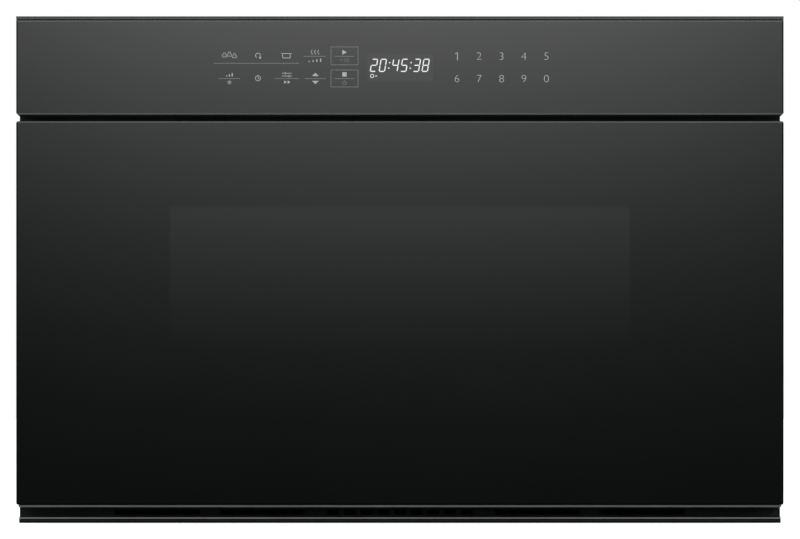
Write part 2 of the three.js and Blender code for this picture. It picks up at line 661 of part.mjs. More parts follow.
/** The plastic tray behind the control glass. */
function controlHousing() {
  const half = glassHalf - FIT;
  const top = frontTopZ - TOP_TRIM_SHEET - FIT;
  const bottom = panelBottomZ - HOUSING_DROP;
  const depth = [glassBackY + FIT, frameFrontY - FIT];
  const floor = [depth[1] - HOUSING_WALL, depth[1]];
  const insideHalf = half - HOUSING_CHAMFER - HOUSING_WALL;
  const hollow = block([-insideHalf, insideHalf], [depth[0] - CUT_PAST, floor[0]],
    [bottom + HOUSING_WALL, top - HOUSING_WALL]);
  const bosses = Array.from({ length: BOSS_COLUMNS }, (_, column) => SIDES.map((row) => {
    const x = (column / (BOSS_COLUMNS - 1) - 0.5) * (CONTROL_BOARD_WIDTH - 2 * BOARD_HOLE_INSET);
    const z = displayZ + row * (CONTROL_BOARD_HEIGHT / 2 - BOARD_HOLE_INSET);
    const length = [controlBoardBackY + FIT, floor[0] + HOUSING_WALL / 2];
    return rod("y", BOSS_RADIUS, length, { x, z }, SMALL_SIDES);
  })).flat();
  const wiring = block(about(0, WIRING_WIDTH), past(floor), about(displayZ, WIRING_HEIGHT));
  const tray = cut(extrude("y", cornerCutOutline(half, bottom, top, HOUSING_CHAMFER), depth), hollow);
  return piece("control_housing", cut(join(tray, ...bosses), wiring), finishes.blackPlastic);
}

/** The display block on the board, close behind the glass. */
function displayModule() {
  const front = glassBackY + FIT;
  const module = block(about(0, DISPLAY_WIDTH + 2 * DISPLAY_BEZEL), [front, front + DISPLAY_DEPTH],
    about(displayZ, DISPLAY_HEIGHT + 2 * DISPLAY_BEZEL));
  return piece("display_module", module, finishes.blackPlastic);
}

/** The control circuit board, with the touch pads in front of it and its relays behind. */
function controlBoard() {
  const front = controlBoardBackY - BOARD;
  const board = block(about(0, CONTROL_BOARD_WIDTH), [front, controlBoardBackY],
    about(displayZ, CONTROL_BOARD_HEIGHT));
  const relays = RELAY_PLACES.map((x) => block(
    about(x, RELAY_WIDTH), [controlBoardBackY - BOARD / 2, controlBoardBackY + RELAY_DEPTH],
    about(displayZ, RELAY_HEIGHT)));
  const padStart = DISPLAY_WIDTH / 2 + DISPLAY_BEZEL + TOUCH_PAD_GAP;
  const pads = SIDES.map((side) => block(
    across(side, padStart, CONTROL_BOARD_WIDTH / 2 - TOUCH_PAD_MARGIN), [glassBackY + FIT, front + BOARD / 2],
    about(displayZ, CONTROL_BOARD_HEIGHT - 2 * TOUCH_PAD_MARGIN)));
  return piece("control_board", join(board, ...relays, ...pads), finishes.board);
}

// ---------------------------------------- cavity

/** The top and sides of the cooking cavity, bent from one sheet. */
function cavityWrapper() {
  const depth = [bodyFrontY, cavityBackY - FIT];
  const outer = block([-cavityOutside, cavityOutside], depth, [cavityFloorZ, ceilingTopZ]);
  const inner = block([-cavityHalf, cavityHalf], past(depth), [cavityFloorZ - CUT_PAST, ceilingZ]);
  const through = past([ceilingZ, ceilingTopZ]);
  const hole = block(about(0, STIRRER_OPENING), about(stirrerY, STIRRER_OPENING), through);
  const lamp = rod("z", LAMP_RADIUS + FIT, through, { x: lampX, y: lampY });
  return piece("cavity_wrapper", cut(outer, inner, hole, lamp), finishes.cavityPaint);
}

/** The cavity floor, with a low runner under each side of the tub. */
function cavityFloor() {
  const half = cavityHalf - FIT;
  const depth = [bodyFrontY, cavityBackY - FIT];
  const sheet = block([-half, half], depth, [cavityFloorZ, cavityFloorZ + SHEET]);
  const runners = SIDES.map((side) => block(
    across(side, tubHalf - RUNNER_INSET - RUNNER_WIDTH, tubHalf - RUNNER_INSET),
    [depth[0] + RUNNER_INSET, tubBackY - RUNNER_INSET], [cavityFloorZ + SHEET / 2, tubBottomZ - RUN]));
  return piece("cavity_floor", join(sheet, ...runners), finishes.cavityPaint);
}

/** The back of the cavity. */
function cavityBack() {
  const wall = block([-cavityOutside, cavityOutside], [cavityBackY, cavityBackY + SHEET],
    [cavityFloorZ, ceilingTopZ]);
  return piece("cavity_back", wall, finishes.cavityPaint);
}

/** The lamp over the cavity, with its lens through the ceiling. */
function cavityLamp() {
  const base = ceilingTopZ + FIT;
  const housing = block(about(lampX, LAMP_WIDTH), about(lampY, LAMP_WIDTH), [base, base + LAMP_HEIGHT]);
  const lens = rod("z", LAMP_RADIUS, [ceilingZ - LAMP_DROP, base + LAMP_DROP], { x: lampX, y: lampY });
  return piece("cavity_lamp", join(housing, lens), finishes.whitePlastic);
}

// ---------------------------------------- microwave source

/** The shallow box over the ceiling that the stirrer turns in. */
function stirrerBox() {
  const base = ceilingTopZ + FIT;
  const wide = STIRRER_OPENING + 2 * SHEET;
  const flangeWide = wide + 2 * STIRRER_BOX_FLANGE;
  const flange = block(about(0, flangeWide), about(stirrerY, flangeWide), [base, base + SHEET]);
  const shell = block(about(0, wide), about(stirrerY, wide), [base, stirrerBoxTopZ]);
  const hollow = block(about(0, STIRRER_OPENING), about(stirrerY, STIRRER_OPENING),
    [base - CUT_PAST, stirrerBoxTopZ - SHEET]);
  const coupling = rod("z", COUPLING_RADIUS, [base, stirrerBoxTopZ + CUT_PAST], { y: stirrerY });
  return piece("stirrer_box", cut(join(flange, shell), hollow, coupling), finishes.zincSheet);
}

/** The plate under the stirrer that keeps food off it and lets microwaves through. */
function stirrerCover() {
  const wide = STIRRER_OPENING + 2 * STIRRER_BOX_FLANGE;
  const top = ceilingZ - FIT;
  const plate = block(about(0, wide), about(stirrerY, wide), [top - STIRRER_COVER, top]);
  return piece("stirrer_cover", plate, finishes.whitePlastic);
}

/** The duct that carries the microwaves from the magnetron to the stirrer. */
function waveguide() {
  const depth = [stirrerY - WAVEGUIDE_FRONT, waveguideRearY];
  const duct = block(about(0, WAVEGUIDE_WIDTH), depth, [waveguideZ, waveguideTopZ]);
  const inside = block(about(0, WAVEGUIDE_WIDTH - 2 * SHEET), [depth[0] + SHEET, depth[1] - SHEET],
    [waveguideZ + SHEET, waveguideTopZ - SHEET]);
  const coupling = rod("z", COUPLING_RADIUS, past([waveguideZ, waveguideZ + SHEET]), { y: stirrerY });
  const top = past([waveguideTopZ - SHEET, waveguideTopZ]);
  const shaft = rod("z", STIRRER_SHAFT + 2 * RUN, top, { y: stirrerY }, SMALL_SIDES);
  const antenna = rod("y", ANTENNA_RADIUS + RUN, past([depth[1] - SHEET, depth[1]]), { z: waveguideMiddleZ });
  return piece("waveguide", cut(duct, inside, coupling, shaft, antenna), finishes.zincSheet);
}

/** The small geared motor on the waveguide that turns the stirrer. */
function stirrerMotor() {
  const base = waveguideTopZ + FIT;
  const can = rod("z", STIRRER_MOTOR_RADIUS, [base, base + STIRRER_MOTOR_HEIGHT], { y: stirrerY });
  const earHalf = STIRRER_MOTOR_RADIUS + STIRRER_EAR_LENGTH;
  const ears = block([-earHalf, earHalf], about(stirrerY, STIRRER_EAR_WIDTH), [base, base + SHEET]);
  const socket = rod("z", STIRRER_SHAFT + 2 * RUN, [base - CUT_PAST, base + STIRRER_MOTOR_HEIGHT / 2],
    { y: stirrerY }, SMALL_SIDES);
  return piece("stirrer_motor", cut(join(can, ears), socket), finishes.steel);
}

/** The turning antenna: a hub with pitched blades. It is modelled about its own axis. */
function stirrer() {
  const middle = ceilingTopZ + FIT + STIRRER_BOX_HEIGHT / 2;
  const top = waveguideTopZ + FIT + STIRRER_MOTOR_HEIGHT / 2 - RUN;
  const reach = STIRRER_OPENING / 2 - STIRRER_CLEARANCE;
  const shaft = rod("z", STIRRER_SHAFT, [middle - STIRRER_SHEET, top], {}, SMALL_SIDES);
  const hub = rod("z", STIRRER_HUB, about(middle, 2 * STIRRER_SHEET), {}, SMALL_SIDES);
  const blades = Array.from({ length: STIRRER_BLADES }, (_, i) => {
    const blade = new THREE.BoxGeometry(reach - STIRRER_SHAFT, STIRRER_BLADE_WIDTH, STIRRER_SHEET);
    blade.translate((reach + STIRRER_SHAFT) / 2, 0, 0);
    blade.rotateX(THREE.MathUtils.degToRad(i % 2 ? STIRRER_PITCH : -STIRRER_PITCH));
    return solid(blade.rotateZ((i * 2 * Math.PI) / STIRRER_BLADES).translate(0, 0, middle));
  });
  const made = piece("stirrer", join(shaft, hub, ...blades), finishes.steel);
  made.position.set(0, stirrerY, 0);
  return made;
}

/** The magnetron: mounting plate, finned anode in its yoke, antenna and filter box. */
function magnetron() {
  const z = waveguideMiddleZ;
  const start = waveguideRearY + FIT;
  const end = start + MAGNETRON_DEPTH;
  const wide = about(0, MAGNETRON_WIDTH);
  const plate = block(wide, [start, start + MAGNETRON_SHEET], about(z, MAGNETRON_HEIGHT));
  const rearPlate = block(wide, [end - MAGNETRON_SHEET, end], about(z, MAGNETRON_HEIGHT));
  const yokes = SIDES.map((side) => {
    const face = z + (side * (MAGNETRON_HEIGHT - MAGNETRON_SHEET)) / 2;
    return block(wide, [start, end], about(face, MAGNETRON_SHEET));
  });
  const finPitch = MAGNETRON_DEPTH / (MAGNETRON_FINS + 1);
  const fins = Array.from({ length: MAGNETRON_FINS }, (_, i) => block(
    about(0, MAGNETRON_WIDTH - 2 * FIN_INSET), about(start + (i + 1) * finPitch, SHEET),
    about(z, MAGNETRON_HEIGHT - MAGNETRON_SHEET)));
  const anode = rod("y", ANODE_RADIUS, [start, end], { z });
  const antenna = rod("y", ANTENNA_RADIUS, [start - ANTENNA_LENGTH, start + MAGNETRON_SHEET / 2], { z });
  const filterBox = block(about(0, FILTER_WIDTH), [end - MAGNETRON_SHEET / 2, end + FILTER_DEPTH],
    about(z, FILTER_HEIGHT));
  const made = join(plate, rearPlate, ...yokes, ...fins, anode, antenna, filterBox);
  return piece("magnetron", made, finishes.steel);
}

/** The laminated core of the high-voltage transformer: two windows round a middle limb. */
function transformerCore() {
  const window = (CORE_WIDTH - 4 * CORE_LIMB) / 2;
  const low = BASE_SHEET + FIT;
  const depth = about(transformerY, CORE_STACK);
  const stack = block(about(transformerX, CORE_WIDTH), depth, [low, low + CORE_HEIGHT]);
  const windows = SIDES.map((side) => block(
    about(transformerX + side * (CORE_LIMB + window / 2), window), past(depth),
    [low + CORE_LIMB, low + CORE_HEIGHT - CORE_LIMB]));
  return piece("transformer_core", cut(stack, ...windows), finishes.coreSteel);
}

/** The transformer's two coils, taped together round the middle limb. */
function transformerCoils() {
  const height = [BASE_SHEET + CORE_LIMB + 2 * FIT, BASE_SHEET + CORE_HEIGHT - CORE_LIMB];
  const middle = (height[0] + height[1]) / 2;
  const plan = (inset) => {
    const half = CORE_LIMB + COIL_THICKNESS - inset;
    const back = CORE_STACK / 2 + COIL_THICKNESS - inset;
    return roundedRectangle([-half, half], [-back, back], COIL_CORNER - inset);
  };
  const coil = extrude("z", plan(0), height);
  const groove = cut(
    extrude("z", plan(-CUT_PAST), about(middle, COIL_GROOVE)),
    extrude("z", plan(COIL_GROOVE / 2), past(about(middle, COIL_GROOVE))));
  const limb = block(about(0, 2 * (CORE_LIMB + FIT)), about(0, CORE_STACK + 2 * FIT), past(height));
  const made = piece("transformer_coils", cut(coil, groove, limb), finishes.copper);
  made.position.set(transformerX, transformerY, 0);
  return made;
}

/** The high-voltage capacitor: an oval can with two tabs on its lid. */
function capacitor() {
  const height = [BASE_SHEET + FIT, BASE_SHEET + FIT + CAPACITOR_HEIGHT];
  const end = (CAPACITOR_WIDTH - CAPACITOR_DEPTH) / 2;
  const plan = roundedRectangle(about(0, CAPACITOR_WIDTH), about(0, CAPACITOR_DEPTH), CAPACITOR_DEPTH / 2);
  const tabs = SIDES.map((side) => block(about(side * end, TAB_WIDTH), about(0, SHEET),
    [height[1] - SHEET, height[1] + TAB_HEIGHT]));
  const made = piece("capacitor", join(extrude("z", plan, height), ...tabs), finishes.steel);
  made.position.set(capacitorX, transformerY, 0);
  return made;
}

/** The square fan frame, with four arms that carry the motor. */
function fanShroud() {
  const depth = [fanFrontY, bodyRearY];
  const centre = { x: fanX, z: fanZ };
  const size = 2 * (FAN_RADIUS + FAN_WALL);
  const armLength = 2 * FAN_RADIUS + FAN_WALL;
  const frame = block(about(fanX, size), depth, about(fanZ, size));
  const duct = rod("y", FAN_RADIUS, past(depth), centre, 2 * ROUND_SIDES);
  const arm = [depth[0], depth[0] + FAN_ARM_DEPTH];
  const arms = [
    block(about(fanX, armLength), arm, about(fanZ, FAN_ARM_WIDTH)),
    block(about(fanX, FAN_ARM_WIDTH), arm, about(fanZ, armLength)),
    rod("y", FAN_HUB, arm, centre),
  ];
  const bore = rod("y", FAN_SHAFT + 2 * RUN, past(arm), centre, SMALL_SIDES);
  return piece("fan_shroud", cut(join(cut(frame, duct), ...arms), bore), finishes.blackPlastic);
}

/** The fan motor, in front of the arms. */
function fanMotor() {
  const end = fanFrontY - FIT;
  const centre = { x: fanX, z: fanZ };
  const can = rod("y", FAN_HUB, [end - FAN_MOTOR_LENGTH, end], centre);
  const boreLength = [end - FAN_MOTOR_LENGTH / 2, end + CUT_PAST];
  const bore = rod("y", FAN_SHAFT + 2 * RUN, boreLength, centre, SMALL_SIDES);
  return piece("fan_motor", cut(can, bore), finishes.steel);
}

/** The fan wheel, modelled about its own axis. */
function fanWheel() {
  const front = fanFrontY + FAN_ARM_DEPTH + RUN;
  const back = bodyRearY - 2 * RUN;
  const shaftEnd = fanFrontY - FIT - FAN_MOTOR_LENGTH / 2 + RUN;
  const hub = rod("y", FAN_HUB - RUN, [front, back], {});
  const shaft = rod("y", FAN_SHAFT, [shaftEnd, front + RUN], {}, SMALL_SIDES);
  const reach = FAN_RADIUS - FAN_TIP_GAP;
  const root = FAN_HUB / 2;
  const blades = Array.from({ length: FAN_BLADES }, (_, i) => {
    const blade = new THREE.BoxGeometry(reach - root, FAN_BLADE_WIDTH, FAN_BLADE_SHEET);
    blade.translate((reach + root) / 2, 0, 0);
    blade.rotateX(THREE.MathUtils.degToRad(FAN_BLADE_PITCH));
    return solid(blade.rotateY((i * 2 * Math.PI) / FAN_BLADES).translate(0, (front + back) / 2, 0));
  });
  const made = piece("fan_wheel", join(hub, shaft, ...blades), finishes.blackPlastic);
  made.position.set(fanX, 0, fanZ);
  return made;
}

/** The mains filter board on its standoffs, beside the stirrer box. */
function filterBoard() {
  const base = ceilingTopZ + FIT;
  const inner = STIRRER_OPENING / 2 + SHEET + STIRRER_BOX_FLANGE + FILTER_BOARD_GAP;
  const x = -inner - FILTER_BOARD_WIDTH / 2;
  const under = base + STANDOFF_HEIGHT;
  const board = block(about(x, FILTER_BOARD_WIDTH), about(stirrerY, FILTER_BOARD_DEPTH),
    [under, under + BOARD]);
  const posts = SIDES.flatMap((i) => SIDES.map((j) => rod(
    "z", STANDOFF_RADIUS, [base, under + BOARD / 2],
    { x: x + i * (FILTER_BOARD_WIDTH / 2 - BOARD_HOLE_INSET),
      y: stirrerY + j * (FILTER_BOARD_DEPTH / 2 - BOARD_HOLE_INSET) }, SMALL_SIDES)));
  const from = under + BOARD / 2;
  const rowY = stirrerY + FILTER_COIL_RADIUS;
  const coil = rod("z", FILTER_COIL_RADIUS, [from, from + FILTER_COIL_HEIGHT],
    { x: x - FILTER_RELAY, y: rowY });
  const relay = block(about(x + FILTER_RELAY, FILTER_RELAY), about(rowY, FILTER_RELAY),
    [from, from + FILTER_RELAY]);
  const fuse = block(about(x, FILTER_FUSE_LENGTH), about(stirrerY - 2 * FILTER_FUSE_WIDTH, FILTER_FUSE_WIDTH),
    [from, from + FILTER_FUSE_WIDTH]);
  return piece("filter_board", join(board, ...posts, coil, relay, fuse), finishes.board);
}

/** A door switch on its bracket, with the lever that the latch hook presses. */
function interlockSwitch(side) {
  const x = side * hookX;
  const z = (hookTopZ + hookBottomZ) / 2;
  const tip = drawerFrontY + HOOK_REACH;
  const start = tip + SWITCH_LEVER;
  const end = start + SWITCH_DEPTH;
  const half = HOOK_WIDTH / 2 + SLOT_CLEARANCE + SHEET;
  const bracket = about(z, SWITCH_BRACKET_HEIGHT);
  const plate = block(across(side, hookX + half, hookX + half + SHEET), [bodyFrontY, end], bracket);
  const foot = block(across(side, hookX + half, hookX + half + SWITCH_FOOT),
    [bodyFrontY, bodyFrontY + SHEET], bracket);
  const body = block(about(x, 2 * half), [start, end], about(z, SWITCH_HEIGHT));
  const lever = block(about(x, HOOK_WIDTH), [tip + FIT, start + SHEET], about(z, SWITCH_HEIGHT - 2 * SHEET));
  return piece(sided("interlock_switch", side), join(plate, foot, body, lever), finishes.blackPlastic);
}

// ---------------------------------------- drive and slides

/** The toothed outline of the pinion, about its own centre, with a gap pointing up. */
function pinionOutline() {
  const base = pinionRadius * Math.cos(pressureAngle);
  const tip = pinionRadius + MODULE;
  const root = pinionRadius - RACK_DEDENDUM;
  const involute = (angle) => Math.tan(angle) - angle;
  const pitchHalf = Math.PI / (2 * PINION_TEETH) - BACKLASH / pinionRadius;
  const halfAngle = (radius) => pitchHalf + involute(pressureAngle) - involute(Math.acos(base / radius));
  const flank = [base, (base + pinionRadius) / 2, pinionRadius, (pinionRadius + tip) / 2, tip];
  const corners = [[root, halfAngle(base)], ...flank.map((radius) => [radius, halfAngle(radius)])];
  const outline = [];
  for (let tooth = 0; tooth < PINION_TEETH; tooth++) {
    const middle = Math.PI / 2 + ((tooth + 0.5) * 2 * Math.PI) / PINION_TEETH;
    const rising = corners.map(([radius, half]) => [radius, middle - half]);
    const falling = corners.map(([radius, half]) => [radius, middle + half]).reverse();
    for (const [radius, angle] of [...rising, ...falling]) {
      outline.push([radius * Math.cos(angle), radius * Math.sin(angle)]);
    }
  }
  return outline;
}

/** A pinion on the drive shaft, under the rack on its side. */
function pinion(side) {
  const wide = about((side * (rackInnerX + rackOuterX)) / 2, PINION_WIDTH);
  const bore = rod("x", SHAFT_RADIUS + FIT, past(wide), {});
  const toothed = cut(extrude("x", pinionOutline(), wide), bore);
  const made = piece(sided("pinion", side), toothed, finishes.whitePlastic);
  made.position.set(0, shaftY, shaftZ);
  return made;
}

/** The cross shaft that turns both pinions together, so that the drawer can't skew. */
function driveShaft() {
  const half = bearingInnerX + BEARING_WIDTH;
  const made = piece("drive_shaft", rod("x", SHAFT_RADIUS, [-half, half], {}), finishes.steel);
  made.position.set(0, shaftY, shaftZ);
  return made;
}

/** A block on the base pan, round the drive shaft. */
function shaftBlock(wide, depth, top) {
  const made = block(wide, about(shaftY, depth), [BASE_SHEET + FIT, top]);
  return cut(made, rod("x", SHAFT_RADIUS + RUN, past(wide), { y: shaftY, z: shaftZ }));
}

/** A bearing at one end of the drive shaft. */
function shaftBearing(side) {
  const wide = across(side, bearingInnerX, bearingInnerX + BEARING_WIDTH);
  const made = shaftBlock(wide, BEARING_DEPTH, shaftZ + SHAFT_RADIUS + BEARING_CAP);
  return piece(sided("shaft_bearing", side), made, finishes.blackPlastic);
}

/** The gearbox round the drive shaft. */
function gearbox() {
  const top = shaftZ + SHAFT_RADIUS + GEARBOX_CAP;
  const made = shaftBlock(about(GEARBOX_SIDE, GEARBOX_WIDTH), GEARBOX_DEPTH, top);
  return piece("gearbox", made, finishes.whitePlastic);
}

/** The drawer motor, behind the gearbox. */
function driveMotor() {
  const start = shaftY + GEARBOX_DEPTH / 2 + FIT;
  const end = start + MOTOR_LENGTH;
  const place = { x: GEARBOX_SIDE, z: BASE_SHEET + MOTOR_LIFT + MOTOR_RADIUS };
  const can = rod("y", MOTOR_RADIUS, [start, end], place);
  const cap = rod("y", MOTOR_CAP_RADIUS, [end - SHEET, end + MOTOR_CAP_LENGTH], place, SMALL_SIDES);
  return piece("drive_motor", join(can, cap), finishes.steel);
}

/** The rack under one side of the drawer, with its teeth down. */
function rack(side) {
  const halfTooth = (height) => toothPitch / 4 - BACKLASH + height * Math.tan(pressureAngle);
  const tipHalf = halfTooth(-RACK_ADDENDUM);
  const rootHalf = halfTooth(RACK_DEDENDUM);
  const teeth = Math.ceil(TRAVEL / toothPitch) + 2 * SPARE_TEETH + 1;
  const first = shaftY - SPARE_TEETH * toothPitch;
  const ends = [first - toothPitch / 2, first + (teeth - 0.5) * toothPitch];
  const outline = [[ends[0], rackTopZ], [ends[0], rackRootZ]];
  for (let tooth = 0; tooth < teeth; tooth++) {
    const y = first + tooth * toothPitch;
    outline.push([y - rootHalf, rackRootZ], [y - tipHalf, rackTipZ]);
    outline.push([y + tipHalf, rackTipZ], [y + rootHalf, rackRootZ]);
  }
  outline.push([ends[1], rackRootZ], [ends[1], rackTopZ]);
  const made = extrude("x", outline, across(side, rackInnerX, rackOuterX));
  return piece(sided("rack", side), made, finishes.whitePlastic);
}

/** The channel on each side of the drawer. It bolts to the door, and carries the rack and the inner slide. */
function carrierBeam(side) {
  const depth = [drawerFrontY, drawerFrontY + SLIDE_LENGTH];
  const wide = across(side, beamInnerX, beamOuterX);
  const web = block(across(side, beamOuterX - BEAM_SHEET, beamOuterX), depth, [beamBottomZ, beamTopZ]);
  const foot = block(wide, depth, [beamBottomZ, beamBottomZ + BEAM_SHEET]);
  const head = block(wide, depth, [beamTopZ - BEAM_SHEET, beamTopZ]);
  const face = block(wide, [depth[0], depth[0] + BEAM_SHEET], [beamBottomZ, beamTopZ]);
  return piece(sided("carrier_beam", side), join(web, foot, head, face), finishes.blackPaint);
}

/** One channel of a slide: its web, its height, and how far its flanges reach from the web. */
function slideChannel(side, web, reach, height, depth) {
  const wide = across(side, Math.min(web[0], reach), Math.max(web[1], reach));
  const flanges = SIDES.map((end) =>
    block(wide, depth, about(slideZ + (end * (height - SLIDE_SHEET)) / 2, SLIDE_SHEET)));
  return join(block(across(side, ...web), depth, about(slideZ, height)), ...flanges);
}

/** The three members of one slide: fixed to the chassis, between, and carrying the drawer. */
function slide(side) {
  const step = SLIDE_SHEET + RUN;
  const edge = slideInnerX + SLIDE_BACKSET;
  const outerWeb = [slideOuterX - SLIDE_SHEET, slideOuterX];
  const middleWeb = outerWeb.map((x) => x - step);
  const innerWeb = [slideInnerX, slideInnerX + SLIDE_SHEET];
  const fixedDepth = [bodyFrontY, bodyFrontY + SLIDE_LENGTH];
  const movingDepth = [drawerFrontY, drawerFrontY + SLIDE_LENGTH];
  const outer = slideChannel(side, outerWeb, edge, SLIDE_HEIGHT, fixedDepth);
  const middle = slideChannel(side, middleWeb, edge, SLIDE_HEIGHT - 2 * step, fixedDepth);
  const inner = slideChannel(side, innerWeb, middleWeb[0] - 2 * RUN, SLIDE_HEIGHT - 4 * step, movingDepth);
  return assembly(
    piece(sided("slide_outer", side), outer, finishes.steel),
    piece(sided("slide_middle", side), middle, finishes.steel),
    piece(sided("slide_inner", side), inner, finishes.steel),
  );
}

// ---------------------------------------- drawer

/** The dark glass on the front of the drawer. */
function doorGlass() {
  const outline = roundedRectangle([-glassHalf, glassHalf], [doorGlassBottomZ, doorTopZ], GLASS_CORNER);
  return piece("door_glass", extrude("y", outline, [frontY, glassBackY]), finishes.blackGlass);
}

/** The metal strip under the door glass, with tapered ends. */
function doorBottomTrim() {
  const half = glassHalf - DOOR_TRIM_INSET;
  const lowerHalf = half - DOOR_TRIM_TAPER;
  const top = doorBottomZ + DOOR_TRIM_HEIGHT;
  const start = frontY + DOOR_TRIM_BACKSET;
  const outline = [[-half, top], [-lowerHalf, doorBottomZ], [lowerHalf, doorBottomZ], [half, top]];
  const made = extrude("y", outline, [start, start + DOOR_TRIM_DEPTH]);
  return piece("door_bottom_trim", made, finishes.darkTrim);
}

/** The pressed ring behind the door glass, open in the middle for the inner panel and the window. */
function doorFrame() {
  const half = glassHalf - DOOR_FRAME_INSET;
  const wall = DOOR_FRAME_WALL;
  const lap = DOOR_FRAME_FLANGE;
  const height = [doorGlassBottomZ, doorTopZ - FIT];
  const depth = [glassBackY + FIT, doorBackY];
  const panelHalf = cavityHalf + CHOKE_OVERLAP + FIT;
  const outer = block([-half, half], depth, height);
  const inside = block([-half + wall, half - wall], [depth[0] + wall, depth[1] - wall],
    [height[0] + wall, height[1] - wall]);
  const front = block([-half + lap, half - lap], past([depth[0], depth[0] + wall]),
    [height[0] + lap, height[1] - lap]);
  const back = block([-panelHalf, panelHalf], past([depth[1] - wall, depth[1]]),
    [chokeBottomZ - FIT, chokeTopZ + FIT]);
  return piece("door_frame", cut(outer, inside, front, back), finishes.blackPaint);
}

/** The inner door panel: a tray with a hollow edge, which is the microwave choke, and a window collar. */
function doorBackPanel() {
  const half = cavityHalf + CHOKE_OVERLAP;
  const depth = [doorBackY - CHOKE_DEPTH, doorBackY];
  const ring = (inset) => [[-half + inset, half - inset], [chokeBottomZ + inset, chokeTopZ - inset]];
  const ringBlock = (inset, span) => block(ring(inset)[0], span, ring(inset)[1]);
  const tray = ringBlock(0, depth);
  const channel = cut(
    ringBlock(SHEET, [depth[0] - CUT_PAST, depth[1] - SHEET]),
    ringBlock(CHOKE_WIDTH, past(depth)));
  const middle = ringBlock(CHOKE_WIDTH + SHEET, [depth[0] - CUT_PAST, depth[1] - SHEET]);
  const collar = block([-windowHalf - SHEET, windowHalf + SHEET], [doorBackY - INNER_GLASS, doorBackY],
    [windowBottomZ - SHEET, windowTopZ + SHEET]);
  const window = block([-windowHalf, windowHalf], past(depth), [windowBottomZ, windowTopZ]);
  const made = cut(join(cut(tray, channel, middle), collar), window);
  return piece("door_back_panel", made, finishes.cavityPaint);
}

/** The perforated sheet across the window, in front of the inner glass. */
function windowScreen() {
  const end = doorBackY - INNER_GLASS - FIT;
  const sheet = block([-windowHalf - SCREEN_LAP, windowHalf + SCREEN_LAP], [end - SCREEN_SHEET, end],
    [windowBottomZ - SCREEN_LAP, windowTopZ + SCREEN_LAP]);
  return piece("window_screen", sheet, finishes.blackPaint);
}

/** The glass in the inner panel's window, flush with the panel. */
function innerWindow() {
  const pane = block([-windowHalf + FIT, windowHalf - FIT], [doorBackY - INNER_GLASS, doorBackY],
    [windowBottomZ + FIT, windowTopZ - FIT]);
  return piece("inner_window", pane, finishes.clearGlass);
}

/** A latch hook, which reaches through the face frame to its door switch. */
function latchHook(side) {
  const tip = drawerFrontY + HOOK_REACH;
  const foot = drawerFrontY + SHEET;
  const nose = tip - HOOK_NOSE;
  const outline = [
    [drawerFrontY, hookBottomZ - HOOK_FOOT], [foot, hookBottomZ - HOOK_FOOT],
    [foot, hookBottomZ + HOOK_NOTCH],
    [nose - HOOK_NOTCH, hookBottomZ + HOOK_NOTCH], [nose, hookBottomZ], [tip, hookBottomZ],
    [tip, hookTopZ - HOOK_CHAMFER], [tip - HOOK_CHAMFER, hookTopZ], [foot, hookTopZ],
    [foot, hookTopZ + HOOK_FOOT], [drawerFrontY, hookTopZ + HOOK_FOOT],
  ];
  const made = extrude("x", outline, about(side * hookX, HOOK_WIDTH));
  return piece(sided("latch_hook", side), made, finishes.whitePlastic);
}

/** The open-topped box that holds the food, with a turned rim and a flange at the door. */
function tub() {
  const outer = extrude("z", tubPlan(TUB_SHEET, drawerFrontY), [tubBottomZ, rimZ]);
  const rim = extrude("z", tubPlan(TUB_SHEET + TUB_RIM, drawerFrontY), [rimZ - TUB_SHEET, rimZ]);
  const doorFlange = block([-tubOutside - TUB_RIM, tubOutside + TUB_RIM],
    [drawerFrontY, drawerFrontY + TUB_SHEET], [tubBottomZ, rimZ]);
  const inner = extrude("z", tubPlan(0, drawerFrontY - CUT_PAST), [tubBottomZ + TUB_SHEET, rimZ + CUT_PAST]);
  return piece("tub", cut(join(outer, rim, doorFlange), inner), finishes.cavityPaint);
}

/** The ceramic plate on the floor of the tub. */
function ceramicTray() {
  const made = extrude("z", tubPlan(-TRAY_MARGIN, drawerFrontY + FIT), [trayBottomZ, trayTopZ]);
  return piece("ceramic_tray", made, finishes.whiteCeramic);
}

// ---------------------------------------- the oven

const chassis = assembly(
  faceFrame(), basePan(), ...SIDES.map(sidePanel), rearPanel(), topCover(), sillTrim(), ventGrille(),
  cordGland());

const controls = assembly(controlGlass(), topTrim(), controlHousing(), displayModule(), controlBoard());

const cavity = assembly(cavityWrapper(), cavityFloor(), cavityBack(), cavityLamp());

const microwaveSource = assembly(
  stirrerBox(), stirrerCover(), waveguide(), stirrerMotor(), stirrer(), magnetron(), transformerCore(),
  transformerCoils(), capacitor(), fanShroud(), fanMotor(), fanWheel(), filterBoard(),
  ...SIDES.map(interlockSwitch));

const drive = assembly(
  driveShaft(), ...SIDES.map(pinion), ...SIDES.map(shaftBearing), gearbox(), driveMotor());

const drawer = assembly(
  doorGlass(), doorBottomTrim(), doorFrame(), doorBackPanel(), windowScreen(), innerWindow(),
  ...SIDES.map(latchHook), tub(), ceramicTray(), ...SIDES.map(carrierBeam), ...SIDES.map(rack));

const oven = assembly(chassis, controls, cavity, microwaveSource, drive, ...SIDES.map(slide), drawer);
oven.name = "drawer_microwave";

export default oven;
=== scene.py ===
"""The looks of a built-in drawer microwave oven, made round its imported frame.

Each piece is modelled in millimetres where it stands in the oven, and its mesh is written in metres. The front
faces -Y, +Z is up and the origin is the middle of the footprint.
"""

import logging
import math
from dataclasses import dataclass, field
from enum import Enum
from typing import Iterable, Optional, Sequence

import bmesh
import bpy
from mathutils import Matrix, Vector


